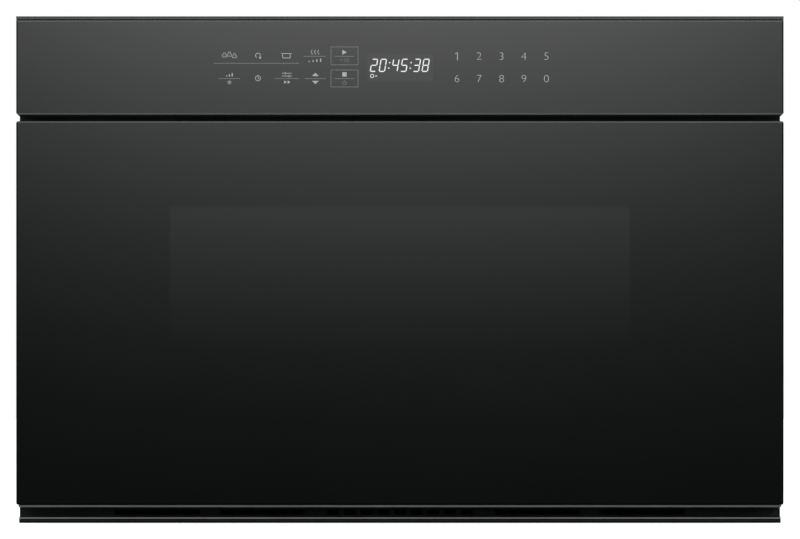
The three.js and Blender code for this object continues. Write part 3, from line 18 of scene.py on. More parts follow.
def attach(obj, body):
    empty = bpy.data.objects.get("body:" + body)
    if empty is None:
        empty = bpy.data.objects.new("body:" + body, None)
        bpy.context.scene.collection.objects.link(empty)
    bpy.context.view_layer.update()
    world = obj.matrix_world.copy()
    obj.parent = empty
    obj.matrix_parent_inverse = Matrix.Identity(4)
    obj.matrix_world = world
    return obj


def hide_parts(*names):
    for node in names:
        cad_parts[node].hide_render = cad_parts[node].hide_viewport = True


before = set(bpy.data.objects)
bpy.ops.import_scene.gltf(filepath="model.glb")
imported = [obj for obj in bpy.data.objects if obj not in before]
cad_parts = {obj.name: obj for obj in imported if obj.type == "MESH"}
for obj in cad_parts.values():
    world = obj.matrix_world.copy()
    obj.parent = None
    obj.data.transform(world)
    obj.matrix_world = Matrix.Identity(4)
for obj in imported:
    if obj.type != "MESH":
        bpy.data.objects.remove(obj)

LOG = logging.getLogger("drawer_oven")
MM = 0.001
SIDES = (-1, 1)
SIDE_NAMES = ("left", "right")
FRONT = -295.0  # face of the control and door glass
PRINT = 0.05  # height of the printed marks, which end at FRONT
GLASS = 4.0  # thickness of the front glasses
NEAR = 0.01  # how far two equal places may lie apart
MERGE = 0.0005  # vertices of a piece that are closer than this are one
NODE_MERGE = 0.002  # the same for a node's mesh
NODE_FLAT = 0.6  # degrees between two of a node's faces that are one
SHARP = 40.0  # degrees over which a node's edge is rounded
SMOOTH = 32.0  # degrees over which an edge is shaded sharp
FIGURE_SHARE = 0.73  # height of a figure, as a share of its font's size
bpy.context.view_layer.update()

Colour = tuple[float, float, float]
Point = tuple[float, float, float]
Span = tuple[float, float]
Mesh = bmesh.types.BMesh
Vert = bmesh.types.BMVert
Edge = bmesh.types.BMEdge
Socket = bpy.types.NodeSocket
WHITE: Colour = (1.0, 1.0, 1.0)


class Body(Enum):
    """The bodies that a piece can ride on."""

    CHASSIS = "chassis"
    DRAWER = "drawer"
    MIDDLE_LEFT = "middle_slide_left"
    MIDDLE_RIGHT = "middle_slide_right"
    SHAFT = "cross_shaft"
    STIRRER = "stirrer"
    FAN = "fan_wheel"


class Axis(Enum):
    """The axes of the oven, by their place in a point."""

    X = 0
    Y = 1
    Z = 2

    @property
    def way(self) -> Vector:
        """Returns the unit vector along the axis."""
        return Vector([float(place == self.value) for place in range(3)])


class Facing(Enum):
    """The way that the head of a fastener points."""

    LEFT = (-1.0, 0.0, 0.0)
    RIGHT = (1.0, 0.0, 0.0)
    FRONT = (0.0, -1.0, 0.0)
    BACK = (0.0, 1.0, 0.0)
    UP = (0.0, 0.0, 1.0)

    @classmethod
    def outward(cls, side: int) -> "Facing":
        """Returns the way out of the oven's left or right side."""
        return cls.RIGHT if side > 0 else cls.LEFT


# ---------------------------------------------------------------- shader graphs


class Tree:
    """A node tree, with short ways to add its nodes."""

    def __init__(self, owner: bpy.types.ID) -> None:
        """Empties the node tree of a material or a world.

        Args:
            owner: the material or the world.
        """
        owner.use_nodes = True
        self.tree = owner.node_tree
        self.tree.nodes.clear()

    def feed(self, socket: Socket, value: object) -> None:
        """Links a socket to another one, or sets it to a constant.

        Args:
            socket: the socket to feed.
            value: a socket, a number, a vector, or the three parts of an opaque colour.
        """
        if isinstance(value, Socket):
            self.tree.links.new(value, socket)
        else:
            socket.default_value = (*value, 1.0) if socket.type == "RGBA" else value

    def node(self, kind: str, feeds: Optional[dict[str | int, object]] = None,
             **settings: object) -> bpy.types.Node:
        """Adds a node.

        Args:
            kind: its Blender type, after the word ShaderNode.
            feeds: what its inputs take, by their names or places.
            **settings: fields to set on it.

        Returns:
            The node.
        """
        made = self.tree.nodes.new(f"ShaderNode{kind}")
        for name, value in settings.items():
            setattr(made, name, value)
        for key, value in (feeds or {}).items():
            self.feed(made.inputs[key], value)
        return made

    def sum(self, operation: str, first: object, second: object = 0.0) -> Socket:
        """Returns the result of a Math node on two values or sockets."""
        return self.node("Math", {0: first, 1: second}, operation=operation).outputs["Value"]


class Graph(Tree):
    """The node tree of one material, round one Principled shader. Patterns follow Object coordinates."""

    def __init__(self, name: str, colour: Colour, roughness: float, metallic: float) -> None:
        """Starts a material.

        Args:
            name: name of the material.
            colour: its base colour, linear.
            roughness: its roughness, from 0 to 1.
            metallic: 1 for bare metal, 0 for the rest.
        """
        self.material = bpy.data.materials.new(name)
        super().__init__(self.material)
        self.shader = self.node("BsdfPrincipled")
        self.node("OutputMaterial", {"Surface": self.shader.outputs["BSDF"]})
        self.place = self.node("TexCoord").outputs["Object"]
        for socket, value in (("Base Color", colour), ("Roughness", roughness), ("Metallic", metallic)):
            self.put(socket, value)

    def put(self, socket: str, value: object) -> None:
        """Feeds one of the shader's own sockets."""
        self.feed(self.shader.inputs[socket], value)

    def stretched(self, stretch: Point = (1.0, 1.0, 1.0)) -> Socket:
        """Returns the Object coordinates, scaled by a factor along each axis."""
        return self.node("Mapping", {"Vector": self.place, "Scale": stretch}).outputs["Vector"]

    def noise(self, scale: float, detail: float = 3.0, stretch: Point = (1.0, 1.0, 1.0)) -> Socket:
        """Returns a noise of the given number of lumps a metre, from 0 to 1."""
        feeds = {"Vector": self.stretched(stretch), "Scale": scale, "Detail": detail}
        return self.node("TexNoise", feeds).outputs["Fac"]

    def cells(self, scale: float, output: str = "Color") -> Socket:
        """Returns a cell pattern of the given number of cells a metre."""
        return self.node("TexVoronoi", {"Vector": self.stretched(), "Scale": scale}).outputs[output]

    def bands(self, scale: float, axis: Axis, distortion: float = 0.0) -> Socket:
        """Returns stripes across an axis, one for each turn of the wave."""
        feeds = {"Vector": self.place, "Scale": scale, "Distortion": distortion}
        return self.node("TexWave", feeds, bands_direction=axis.name).outputs["Fac"]

    def along(self, axis: Axis) -> Socket:
        """Returns the Object coordinate along one axis."""
        return self.node("SeparateXYZ", {"Vector": self.place}).outputs[axis.value]

    def remap(self, value: Socket, source: Span, target: Span, smooth: bool = False) -> Socket:
        """Moves a value from one range to another and holds it inside.

        Args:
            value: the value.
            source: the range that it comes from.
            target: the range that it is moved to.
            smooth: whether the move eases in and out.

        Returns:
            The moved value.
        """
        feeds = dict(zip(("Value", "From Min", "From Max", "To Min", "To Max"), (value, *source, *target)))
        way = "SMOOTHSTEP" if smooth else "LINEAR"
        return self.node("MapRange", feeds, interpolation_type=way).outputs["Result"]

    def ramp(self, value: Socket, stops: Sequence[tuple[float, Colour]]) -> Socket:
        """Blends colours by a value.

        Args:
            value: the value, from 0 to 1.
            stops: places along the value, each with its colour.

        Returns:
            The colour.
        """
        made = self.node("ValToRGB", {"Fac": value})
        elements = made.color_ramp.elements
        while len(elements) < len(stops):
            elements.new(0.5)
        for element, (place, colour) in zip(elements, stops):
            element.position, element.color = place, (*colour, 1.0)
        return made.outputs["Color"]

    def mix(self, share: Socket, first: object, second: object) -> Socket:
        """Returns two colours mixed by a share of the second."""
        return self.node("Mix", {0: share, 6: first, 7: second}, data_type="RGBA").outputs[2]

    def relief(self, height: Socket, depth: float, strength: float = 1.0,
               under: Optional[Socket] = None) -> Socket:
        """Bumps the surface by a pattern.

        Args:
            height: the pattern, from 0 to 1.
            depth: depth of the bumps in millimetres.
            strength: share of the bump.
            under: a coarser normal to lie on.

        Returns:
            The normal.
        """
        feeds = {"Strength": strength, "Distance": depth * MM, "Height": height}
        if under is not None:
            feeds["Normal"] = under
        return self.node("Bump", feeds).outputs["Normal"]


def shade(colour: Colour, factor: float) -> Colour:
    """Returns a colour made lighter or darker by a factor."""
    return tuple(min(1.0, part * factor) for part in colour)


# ---------------------------------------------------------------- finishes


@dataclass(frozen=True)
class Finish:
    """One finish of the oven, which becomes one material."""

    name: str
    slot: str
    colour: Colour
    roughness: float
    metallic: float = 0.0

    def pattern(self, graph: Graph) -> None:
        """Adds the finish's own detail to its graph."""
        raise NotImplementedError

    def tones(self, graph: Graph, value: Socket, low: float, high: float) -> Socket:
        """Returns the finish's colour times a low factor and a high one, blended by a pattern."""
        return graph.ramp(value, ((0.3, shade(self.colour, low)), (0.7, shade(self.colour, high))))

    def gloss(self, graph: Graph, value: Socket, less: float, more: float) -> None:
        """Moves the roughness by a pattern, from less to more than the finish's own."""
        graph.put("Roughness", graph.remap(value, (0.3, 0.7), (self.roughness + less, self.roughness + more)))

    def material(self) -> bpy.types.Material:
        """Makes the finish's material when it is first asked for.

        Returns:
            The material.
        """
        found = bpy.data.materials.get(self.name)
        if found is None:
            graph = Graph(self.name, self.colour, self.roughness, self.metallic)
            self.pattern(graph)
            found = graph.material
        return found


@dataclass(frozen=True)
class Painted(Finish):
    """A sprayed coat, with a fine orange peel and faint cloudiness."""

    peel: float = 900.0  # lumps a metre
    depth: float = 0.02  # millimetres
    shine: float = 0.5

    def pattern(self, graph: Graph) -> None:
        """Adds cloudiness, gloss patches and the orange peel.

        Args:
            graph: the graph of its material.
        """
        graph.put("Base Color", self.tones(graph, graph.noise(14.0, 4.0), 0.88, 1.12))
        self.gloss(graph, graph.noise(35.0, 5.0), -0.05, 0.07)
        graph.put("Normal", graph.relief(graph.noise(self.peel, 2.0), self.depth, 0.5))
        graph.put("Specular IOR Level", self.shine)


@dataclass(frozen=True)
class Enamel(Finish):
    """A baked cavity enamel: smooth and slightly speckled."""

    speck: Colour = (0.09, 0.095, 0.1)

    def pattern(self, graph: Graph) -> None:
        """Adds dark and pale specks, and a soft waviness.

        Args:
            graph: the graph of its material.
        """
        specks = graph.noise(2600.0, 0.0)
        base = self.tones(graph, graph.noise(7.0, 2.0), 0.98, 1.02)
        dark = graph.mix(graph.remap(specks, (0.64, 0.7), (0.0, 0.6)), base, self.speck)
        pale = graph.mix(graph.remap(specks, (0.36, 0.3), (0.0, 0.5)), dark, shade(self.colour, 1.5))
        graph.put("Base Color", pale)
        self.gloss(graph, graph.noise(40.0, 2.0), -0.02, 0.02)
        graph.put("Normal", graph.relief(graph.noise(900.0, 1.0), 0.006, 0.3))


@dataclass(frozen=True)
class Spangled(Finish):
    """Zinc coated sheet, with its crystals and light rolling marks."""

    crystal: float = 210.0  # crystals a metre

    def pattern(self, graph: Graph) -> None:
        """Adds crystals of differing tone and gloss, and rolling marks.

        Args:
            graph: the graph of its material.
        """
        cells = graph.node("SeparateColor", {"Color": graph.cells(self.crystal)})
        crystals = graph.ramp(cells.outputs["Red"], (
            (0.0, shade(self.colour, 0.88)), (0.55, self.colour), (1.0, shade(self.colour, 1.12))))
        stains = graph.remap(graph.noise(6.0, 5.0), (0.42, 0.75), (0.0, 0.35))
        graph.put("Base Color", graph.mix(stains, crystals, shade(self.colour, 0.7)))
        graph.put("Roughness", graph.remap(cells.outputs["Green"], (0.0, 1.0),
                                           (self.roughness - 0.08, self.roughness + 0.12)))
        rolling = graph.noise(420.0, 3.0, (1.0, 0.04, 1.0))
        edges = graph.relief(graph.cells(self.crystal, "Distance"), 0.03, 0.5)
        graph.put("Normal", graph.relief(rolling, 0.015, 0.4, edges))


@dataclass(frozen=True)
class Brushed(Finish):
    """Bare or dyed metal with a grain along one axis."""

    grain: Axis = Axis.X
    lines: float = 2200.0  # a metre
    depth: float = 0.01  # millimetres
    shine: float = 0.5

    def pattern(self, graph: Graph) -> None:
        """Adds the grain in tone, gloss and relief.

        Args:
            graph: the graph of its material.
        """
        stretch = tuple(0.01 if axis is self.grain else 1.0 for axis in Axis)
        grain = graph.noise(self.lines, 4.0, stretch)
        graph.put("Base Color", self.tones(graph, grain, 0.86, 1.12))
        self.gloss(graph, grain, -0.05, 0.08)
        graph.put("Normal", graph.relief(grain, self.depth, 0.5))
        graph.put("Specular IOR Level", self.shine)


@dataclass(frozen=True)
class Moulded(Finish):
    """Moulded plastic with a spark-eroded texture."""

    grain: float = 1400.0  # lumps a metre
    depth: float = 0.03  # millimetres
    shine: float = 0.5

    def pattern(self, graph: Graph) -> None:
        """Adds the fine texture and slow changes of tone from the mould.

        Args:
            graph: the graph of its material.
        """
        graph.put("Base Color", self.tones(graph, graph.noise(11.0, 4.0), 0.86, 1.14))
        self.gloss(graph, graph.noise(60.0, 4.0), -0.06, 0.06)
        graph.put("Normal", graph.relief(graph.noise(self.grain, 2.0), self.depth, 0.45))
        graph.put("Specular IOR Level", self.shine)


@dataclass(frozen=True)
class Glazed(Finish):
    """Glass ceramic with a satin glaze and tiny specks."""

    def pattern(self, graph: Graph) -> None:
        """Adds the specks, a faint mottle and the ripple of the glaze.

        Args:
            graph: the graph of its material.
        """
        mottle = self.tones(graph, graph.noise(28.0, 5.0), 0.95, 1.03)
        specks = graph.remap(graph.cells(900.0, "Distance"), (0.1, 0.16), (0.5, 0.0))
        graph.put("Base Color", graph.mix(specks, mottle, (0.42, 0.4, 0.36)))
        self.gloss(graph, graph.noise(50.0, 3.0), -0.05, 0.08)
        graph.put("Normal", graph.relief(graph.noise(160.0, 2.0), 0.03, 0.3))
        graph.put("Coat Weight", 0.4)
        graph.put("Coat Roughness", 0.15)


@dataclass(frozen=True)
class FrontGlass(Finish):
    """Glass printed black on its back. The window is printed a little more thinly, and its paler tone, which fades out
    downwards, is partly that thin print and partly a painted reflection.
    """

    window: Optional[tuple[Span, Span]] = None  # soft edge and half width, then heights, in millimetres
    window_colour: Colour = (0.0105, 0.0118, 0.0115)

    def pattern(self, graph: Graph) -> None:
        """Adds the depth of the print, the thin print of the window with a painted reflection that fades it out
        downwards, and faint wiping marks.

        Args:
            graph: the graph of its material.
        """
        colour = self.tones(graph, graph.noise(7.0, 3.0), 0.92, 1.08)
        if self.window is not None:
            (edge, half), (low, high) = self.window
            side = graph.remap(graph.sum("ABSOLUTE", graph.along(Axis.X)),
                               ((half - edge) * MM, (half + edge) * MM), (1.0, 0.0), True)
            height = graph.along(Axis.Z)
            top = graph.remap(height, ((high - 2 * edge) * MM, (high + 2 * edge) * MM), (1.0, 0.0), True)
            # the window's paler tone fades out towards its foot: a painted reflection
            painted_reflection_fade = graph.remap(height, (low * MM, high * MM), (0.0, 1.0))
            share = graph.sum("MULTIPLY", graph.sum("MULTIPLY", side, top), painted_reflection_fade)
            colour = graph.mix(share, colour, self.window_colour)
        graph.put("Base Color", colour)
        wiping = graph.noise(16.0, 5.0, (1.0, 1.0, 0.35))
        graph.put("Roughness", graph.remap(wiping, (0.35, 0.75), (self.roughness, self.roughness + 0.015)))
        graph.put("IOR", 1.5)


@dataclass(frozen=True)
class ClearGlass(Finish):
    """See-through glass with a faint tint and faint wiping marks."""

    def pattern(self, graph: Graph) -> None:
        """Makes the shader transmit, and adds wiping marks.

        Args:
            graph: the graph of its material.
        """
        graph.put("Transmission Weight", 1.0)
        graph.put("IOR", 1.5)
        graph.put("Roughness", graph.remap(graph.noise(20.0, 5.0), (0.35, 0.75), (self.roughness, 0.05)))
        graph.put("Base Color", self.tones(graph, graph.noise(9.0, 2.0), 0.97, 1.0))


@dataclass(frozen=True)
class Laminated(Finish):
    """A stack of varnished steel sheets."""

    sheets: float = 320.0  # wave scale across the stack
    varnish: Colour = (0.075, 0.045, 0.02)

    def pattern(self, graph: Graph) -> None:
        """Adds the edges of the sheets and the varnish that has run on them.

        Args:
            graph: the graph of its material.
        """
        edges = graph.bands(self.sheets, Axis.Y)
        run = graph.noise(55.0, 5.0)
        sheets = graph.ramp(edges, ((0.2, shade(self.colour, 0.55)), (0.6, shade(self.colour, 1.3))))
        graph.put("Base Color", graph.mix(graph.remap(run, (0.45, 0.7), (0.0, 0.8)), sheets, self.varnish))
        self.gloss(graph, run, 0.0, -0.25)
        graph.put("Normal", graph.relief(edges, 0.12, 0.8))


@dataclass(frozen=True)
class Wound(Finish):
    """Enamelled wire wound in layers, with a band of tape round its middle."""

    wires: float = 180.0  # wave scale along the coil
    tape: Colour = (0.62, 0.42, 0.12)
    tape_height: float = 39.0

    def pattern(self, graph: Graph) -> None:
        """Adds the turns of wire, and the crepe of the tape.

        Args:
            graph: the graph of its material.
        """
        turns = graph.bands(self.wires, Axis.Z, 0.4)
        wire = graph.ramp(turns, ((0.15, shade(self.colour, 0.3)), (0.7, shade(self.colour, 1.2))))
        crepe = graph.noise(700.0, 3.0, (0.2, 0.2, 1.0))
        tape = graph.ramp(crepe, ((0.3, shade(self.tape, 0.75)), (0.7, self.tape)))
        off = graph.sum("ABSOLUTE", graph.sum("SUBTRACT", graph.along(Axis.Z), self.tape_height * MM))
        graph.put("Base Color", graph.mix(graph.remap(off, (0.0095, 0.0105), (1.0, 0.0)), wire, tape))
        graph.put("Normal", graph.relief(turns, 0.3, 0.8))


@dataclass(frozen=True)
class Etched(Finish):
    """A printed circuit board: tracks under the green coat, and tinned pads."""

    pads: Colour = (0.55, 0.55, 0.53)

    def pattern(self, graph: Graph) -> None:
        """Adds tracks, pads and the edge of the coat over them.

        Args:
            graph: the graph of its material.
        """
        laid = graph.node("Mapping", {"Vector": graph.place, "Rotation": (math.radians(90), 0.0, 0.0)})
        tracks = graph.node("TexBrick", {
            "Vector": laid.outputs["Vector"], "Scale": 150.0, "Mortar Size": 0.06, "Mortar Smooth": 0.1,
            "Brick Width": 0.9, "Row Height": 0.3, "Color1": self.colour, "Color2": shade(self.colour, 0.9),
            "Mortar": shade(self.colour, 2.1)}, offset=0.5, squash=0.6, squash_frequency=3)
        pads = graph.remap(graph.cells(260.0, "Distance"), (0.16, 0.2), (1.0, 0.0))
        graph.put("Base Color", graph.mix(pads, tracks.outputs["Color"], self.pads))
        graph.put("Roughness", graph.remap(pads, (0.0, 1.0), (self.roughness, 0.25)))
        graph.put("Normal", graph.relief(graph.sum("ADD", pads, tracks.outputs["Fac"]), 0.08, 0.5))


@dataclass(frozen=True)
class Inked(Finish):
    """Screen printed ink, a little uneven in cover."""

    def pattern(self, graph: Graph) -> None:
        """Adds the uneven cover and the mesh of the screen.

        Args:
            graph: the graph of its material.
        """
        graph.put("Base Color", self.tones(graph, graph.noise(900.0, 3.0), 0.88, 1.08))
        self.gloss(graph, graph.noise(400.0, 2.0), -0.1, 0.1)
        graph.put("Specular IOR Level", 0.2)


@dataclass(frozen=True)
class Lit(Finish):
    """A lit segment of the display."""

    glow: float = 0.8

    def pattern(self, graph: Graph) -> None:
        """Adds a glow that is a little brighter in the middle of each stroke.

        Args:
            graph: the graph of its material.
        """
        graph.put("Emission Color", self.tones(graph, graph.noise(500.0, 1.0), 0.9, 1.0))
        graph.put("Base Color", self.tones(graph, graph.noise(700.0, 2.0), 0.16, 0.2))
        graph.put("Emission Strength", self.glow)


GROUND = {"peel": 1500.0, "depth": 0.01}
BLACK_GLASS = FrontGlass("black printed glass", "black_glass", (0.0031, 0.0045, 0.0040), 0.02)
DOOR_GLASS = FrontGlass("black printed door glass", "black_glass", (0.0031, 0.0045, 0.0040), 0.02,
                        window=((1.4, 181.5), (136.0, 249.4)))
# copies of one ground glass edge by the way they face: the upper edge its pale tone with a painted highlight, the
# lower edge a brighter painted highlight, the sides painted shade
GLASS_EDGE_AND_HIGHLIGHT = Painted("ground glass upper edge and painted highlight", "black_glass", (0.045, 0.050, 0.0485), 0.3, **GROUND)
GLASS_LOWER_PAINTED_HIGHLIGHT = Painted("ground glass lower edge painted highlight", "black_glass", (0.078, 0.084, 0.082), 0.3, **GROUND)
GLASS_SIDE_PAINTED_SHADE = Painted("ground glass side painted shade", "black_glass", (0.003, 0.004, 0.004), 0.6, **GROUND, shine=0.0)
PANEL_SIDE_PAINTED_SHADE = Painted("ground panel side painted shade", "black_glass", (0.022, 0.024, 0.0235), 0.6, **GROUND, shine=0.0)
DISPLAY_GLASS = FrontGlass("display window", "black_glass", (0.0135, 0.0142, 0.0140), 0.05)
CLEAR_GLASS = ClearGlass("clear glass", "clear_glass", (0.82, 0.9, 0.88), 0.01)
CERAMIC = Glazed("glass ceramic", "ceramic", (0.74, 0.73, 0.69), 0.22)
BLACK_PAINT = Painted("black powder coat", "black_paint", (0.005, 0.005, 0.0055), 0.5, peel=700.0, depth=0.04,
                      shine=0.3)
CAVITY_ENAMEL = Enamel("cavity enamel", "cavity_paint", (0.3, 0.31, 0.31), 0.32)
DARK_TRIM = Brushed("dark trim", "dark_trim", (0.073, 0.076, 0.076), 0.3)
# a darker copy of the dark trim for the upper rounding of the cap's nose: painted shade
TRIM_SHADE = Brushed("dark trim edge painted shade", "dark_trim", (0.012, 0.013, 0.013), 0.4, shine=0.1)
SILL_LINE = Brushed("fine line on the sill", "dark_trim", (0.024, 0.026, 0.026), 0.4, shine=0.1)
STRIP_TRIM = Brushed("satin door strip", "dark_trim", (0.082, 0.087, 0.086), 0.34)
SILL_BLACK = Painted("gloss black sill", "dark_trim", (0.0012, 0.0015, 0.0015), 0.3, peel=1000.0, depth=0.01,
                     shine=0.06)
# a brighter copy of the trim for the sill's front chamfer: a painted highlight where light from above falls
SILL_NOSE_PAINTED_HIGHLIGHT = Brushed("sill nose painted highlight", "dark_trim", (0.116, 0.122, 0.120), 0.3)
# a darker, duller copy of the black moulding: the housing's own black deepened as painted shade, and painted shade in
# louvre mouths, behind the grille and in the air holes
BLACK_MOULDING_AND_SHADE = Moulded("black moulding and painted shade", "black_plastic", (0.002, 0.003, 0.003), 0.6, depth=0.02, shine=0.15)
GRILLE_BLACK = Moulded("black grille moulding", "black_plastic", (0.012, 0.0145, 0.0140), 0.55, depth=0.02, shine=0.4)
ZINC = Spangled("spangled zinc", "zinc_sheet", (0.34, 0.355, 0.365), 0.36, 1.0)
STEEL = Brushed("bright steel", "steel", (0.37, 0.38, 0.39), 0.36, 1.0, grain=Axis.Y, lines=1400.0)
SCREW_STEEL = Brushed("plated screws", "steel", (0.4, 0.4, 0.375), 0.34, 1.0, grain=Axis.Z, lines=900.0)
CORE_STEEL = Laminated("core laminations", "core_steel", (0.07, 0.06, 0.05), 0.55, 0.4)
COPPER = Wound("wound copper", "copper", (0.42, 0.12, 0.04), 0.38, 0.6)
BLACK_PLASTIC = Moulded("black moulding", "black_plastic", (0.011, 0.011, 0.012), 0.5)
RUBBER = Moulded("seal rubber", "black_plastic", (0.014, 0.014, 0.015), 0.72, grain=1800.0, depth=0.02, shine=0.3)
WINDING = Brushed("enamelled wire", "copper", (0.36, 0.1, 0.03), 0.34, 0.7, grain=Axis.Z, lines=700.0)
BLADE_TIN = Brushed("tinned terminals", "steel", (0.46, 0.46, 0.44), 0.34, 1.0, grain=Axis.Z, lines=1500.0)
INSULATOR = Glazed("terminal insulators", "ceramic", (0.62, 0.55, 0.45), 0.3)
WHITE_PLASTIC = Moulded("natural nylon", "white_plastic", (0.66, 0.65, 0.6), 0.42, depth=0.015)
BOARD_GREEN = Etched("circuit board", "circuit_board", (0.013, 0.1, 0.04), 0.42)
INK = Inked("pale print", "black_glass", (0.42, 0.43, 0.43), 0.5)
DIM_INK = Inked("dim print", "black_glass", (0.15, 0.153, 0.153), 0.5)
LINE_INK = Inked("line print", "black_glass", (0.2, 0.205, 0.205), 0.5)
SEGMENT = Lit("lit segment", "clear_glass", (0.95, 0.98, 0.97), 0.4)


# ---------------------------------------------------------------- modelling


def placed(axis: Axis, pair: Span, level: float) -> Point:
    """Returns the point at a level along an axis and at a pair of places along the other two."""
    return (*pair[:axis.value], level, *pair[axis.value:])


def about(middle: float, half: float) -> Span:
    """Returns the reach of a half width on both sides of a middle."""
    return middle - half, middle + half


def arc_points(centre: Span, radius: float, start: float, end: float, steps: int) -> list[Span]:
    """Returns places round a centre, in even steps between two angles in degrees."""
    turns = [math.radians(start + (end - start) * i / steps) for i in range(steps + 1)]
    return [(centre[0] + radius * math.cos(turn), centre[1] + radius * math.sin(turn)) for turn in turns]


def rounded(wide: Span, tall: Span, radius: float, steps: int = 4) -> list[Span]:
    """Makes a rectangle with round corners.

    Args:
        wide: its reach along its first axis.
        tall: its reach along its second axis.
        radius: radius of its corners.
        steps: sides of each corner.

    Returns:
        Its outline.
    """
    points = []
    for u, v, start in ((wide[1], tall[1], 0), (wide[0], tall[1], 90), (wide[0], tall[0], 180),
                        (wide[1], tall[0], 270)):
        centre = (u - math.copysign(radius, u - sum(wide) / 2), v - math.copysign(radius, v - sum(tall) / 2))
        points += arc_points(centre, radius, start, start + 90, steps)
    return points


def cuboid(bm: Mesh, low: Point, high: Point) -> list[Vert]:
    """Adds a block between two corners.

    Args:
        bm: the mesh to add to.
        low: its lower corner.
        high: its upper corner.

    Returns:
        The vertices.
    """
    size = Vector(high) - Vector(low)
    verts = bmesh.ops.create_cube(bm, size=1.0)["verts"]
    bmesh.ops.scale(bm, vec=size, verts=verts)
    bmesh.ops.translate(bm, vec=Vector(low) + size / 2, verts=verts)
    return verts


def edges_of(verts: Iterable[Vert]) -> list[Edge]:
    """Returns the edges that join the given vertices."""
    chosen = dict.fromkeys(verts)
    return list(dict.fromkeys(edge for vert in chosen for edge in vert.link_edges if edge.other_vert(vert) in chosen))


def edges_at(verts: Iterable[Vert], axis: Axis, level: float) -> list[Edge]:
    """Returns the edges between the given vertices that lie at a level along an axis."""
    return [edge for edge in edges_of(verts) if all(abs(vert.co[axis.value] - level) < NEAR for vert in edge.verts)]


def round_off(bm: Mesh, edges: Iterable[Edge], width: float, steps: int = 2) -> None:
    """Rounds or chamfers edges by a width in millimetres."""
    bmesh.ops.bevel(bm, geom=list(edges), offset=width, offset_type="OFFSET", affect="EDGES", segments=steps,
                    profile=0.5, material=-1, clamp_overlap=True)


def eased(bm: Mesh, low: Point, high: Point, width: float = 0.3) -> None:
    """Adds a block with eased edges between two corners."""
    round_off(bm, edges_of(cuboid(bm, low, high)), width, 1)


def outline(bm: Mesh, points: Sequence[Span], axis: Axis, span: Span) -> list[Vert]:
    """Adds an outline extruded along an axis.

    Args:
        bm: the mesh to add to.
        points: corners in the other two axes, in their order.
        axis: the way it is extruded.
        span: where it starts and ends.

    Returns:
        The vertices.
    """
    verts = [bm.verts.new(placed(axis, point, span[0])) for point in points]
    face = bm.faces.new(verts)
    far = [item for item in bmesh.ops.extrude_face_region(bm, geom=[face])["geom"] if isinstance(item, Vert)]
    bmesh.ops.translate(bm, vec=placed(axis, (0.0, 0.0), span[1] - span[0]), verts=far)
    if not face.is_valid:
        bm.faces.new(verts)
    return verts + far


def ring(bm: Mesh, outer: Sequence[Span], inner: Sequence[Span], axis: Axis, span: Span) -> list[Vert]:
    """Adds a flat ring between two outlines that have as many corners.

    Args:
        bm: the mesh to add to.
        outer: its outer outline, in the other two axes.
        inner: its inner outline.
        axis: the way it is extruded.
        span: where it starts and ends.

    Returns:
        The vertices.
    """
    loops = [[bm.verts.new(placed(axis, point, level)) for point in points]
             for points, level in ((outer, span[0]), (inner, span[0]), (inner, span[1]), (outer, span[1]))]
    for first, second in zip(loops, loops[1:] + loops[:1]):
        for i in range(len(first)):
            j = (i + 1) % len(first)
            bm.faces.new((first[i], first[j], second[j], second[i]))
    return [vert for loop in loops for vert in loop]


def pressed(bm: Mesh, wide: Span, tall: Span, radius: float, axis: Axis, levels: Span, soft: float) -> None:
    """Raises a field with round corners from a sheet.

    Args:
        bm: the mesh to add to.
        wide: its reach along the first of the other axes.
        tall: its reach along the second.
        radius: radius of its corners.
        axis: the way it is raised.
        levels: its foot, inside the sheet, and its face.
        soft: how far the rim of its face is rounded.
    """
    verts = outline(bm, rounded(wide, tall, radius, 5), axis, levels)
    round_off(bm, edges_at(verts, axis, levels[1]), soft, 3)


def turned(bm: Mesh, profile: Sequence[Span], axis: Axis, centre: Point, steps: int = 32) -> None:
    """Adds a profile spun about an axis.

    Args:
        bm: the mesh to add to.
        profile: radius and distance along the axis, from one end to the other.
        axis: the axis of the turning.
        centre: a point on it.
        steps: sides of the turned shape.
    """
    across, middle = Axis((axis.value + 1) % 3).way, Vector(centre)
    verts = [bm.verts.new(middle + across * radius + axis.way * along) for radius, along in profile]
    edges = [bm.edges.new(pair) for pair in zip(verts, verts[1:])]
    before = set(bm.verts) - set(verts)
    bmesh.ops.spin(bm, geom=verts + edges, cent=middle, axis=axis.way, angle=math.tau, steps=steps, use_merge=True)
    bmesh.ops.remove_doubles(bm, verts=[vert for vert in bm.verts if vert not in before], dist=MERGE)


def seat(place: Point, way: Sequence[float]) -> Matrix:
    """Returns the matrix that stands a shape made along Z on a place, pointing another way."""
    turn = Vector(Facing.UP.value).rotation_difference(Vector(way))
    return Matrix.Translation(place) @ turn.to_matrix().to_4x4()


def cone(bm: Mesh, stand: Matrix, sides: int, radii: Span, span: Span) -> list[Vert]:
    """Adds a closed cone or cylinder.

    Args:
        bm: the mesh to add to.
        stand: the matrix of its seat.
        sides: how many sides it has.
        radii: its radius at its foot and at its head.
        span: how far its foot and its head lie over the seat.

    Returns:
        The vertices.
    """
    middle = stand @ Matrix.Translation((0.0, 0.0, sum(span) / 2))
    return bmesh.ops.create_cone(bm, cap_ends=True, segments=sides, radius1=radii[0], radius2=radii[1],
                                 depth=span[1] - span[0], matrix=middle)["verts"]


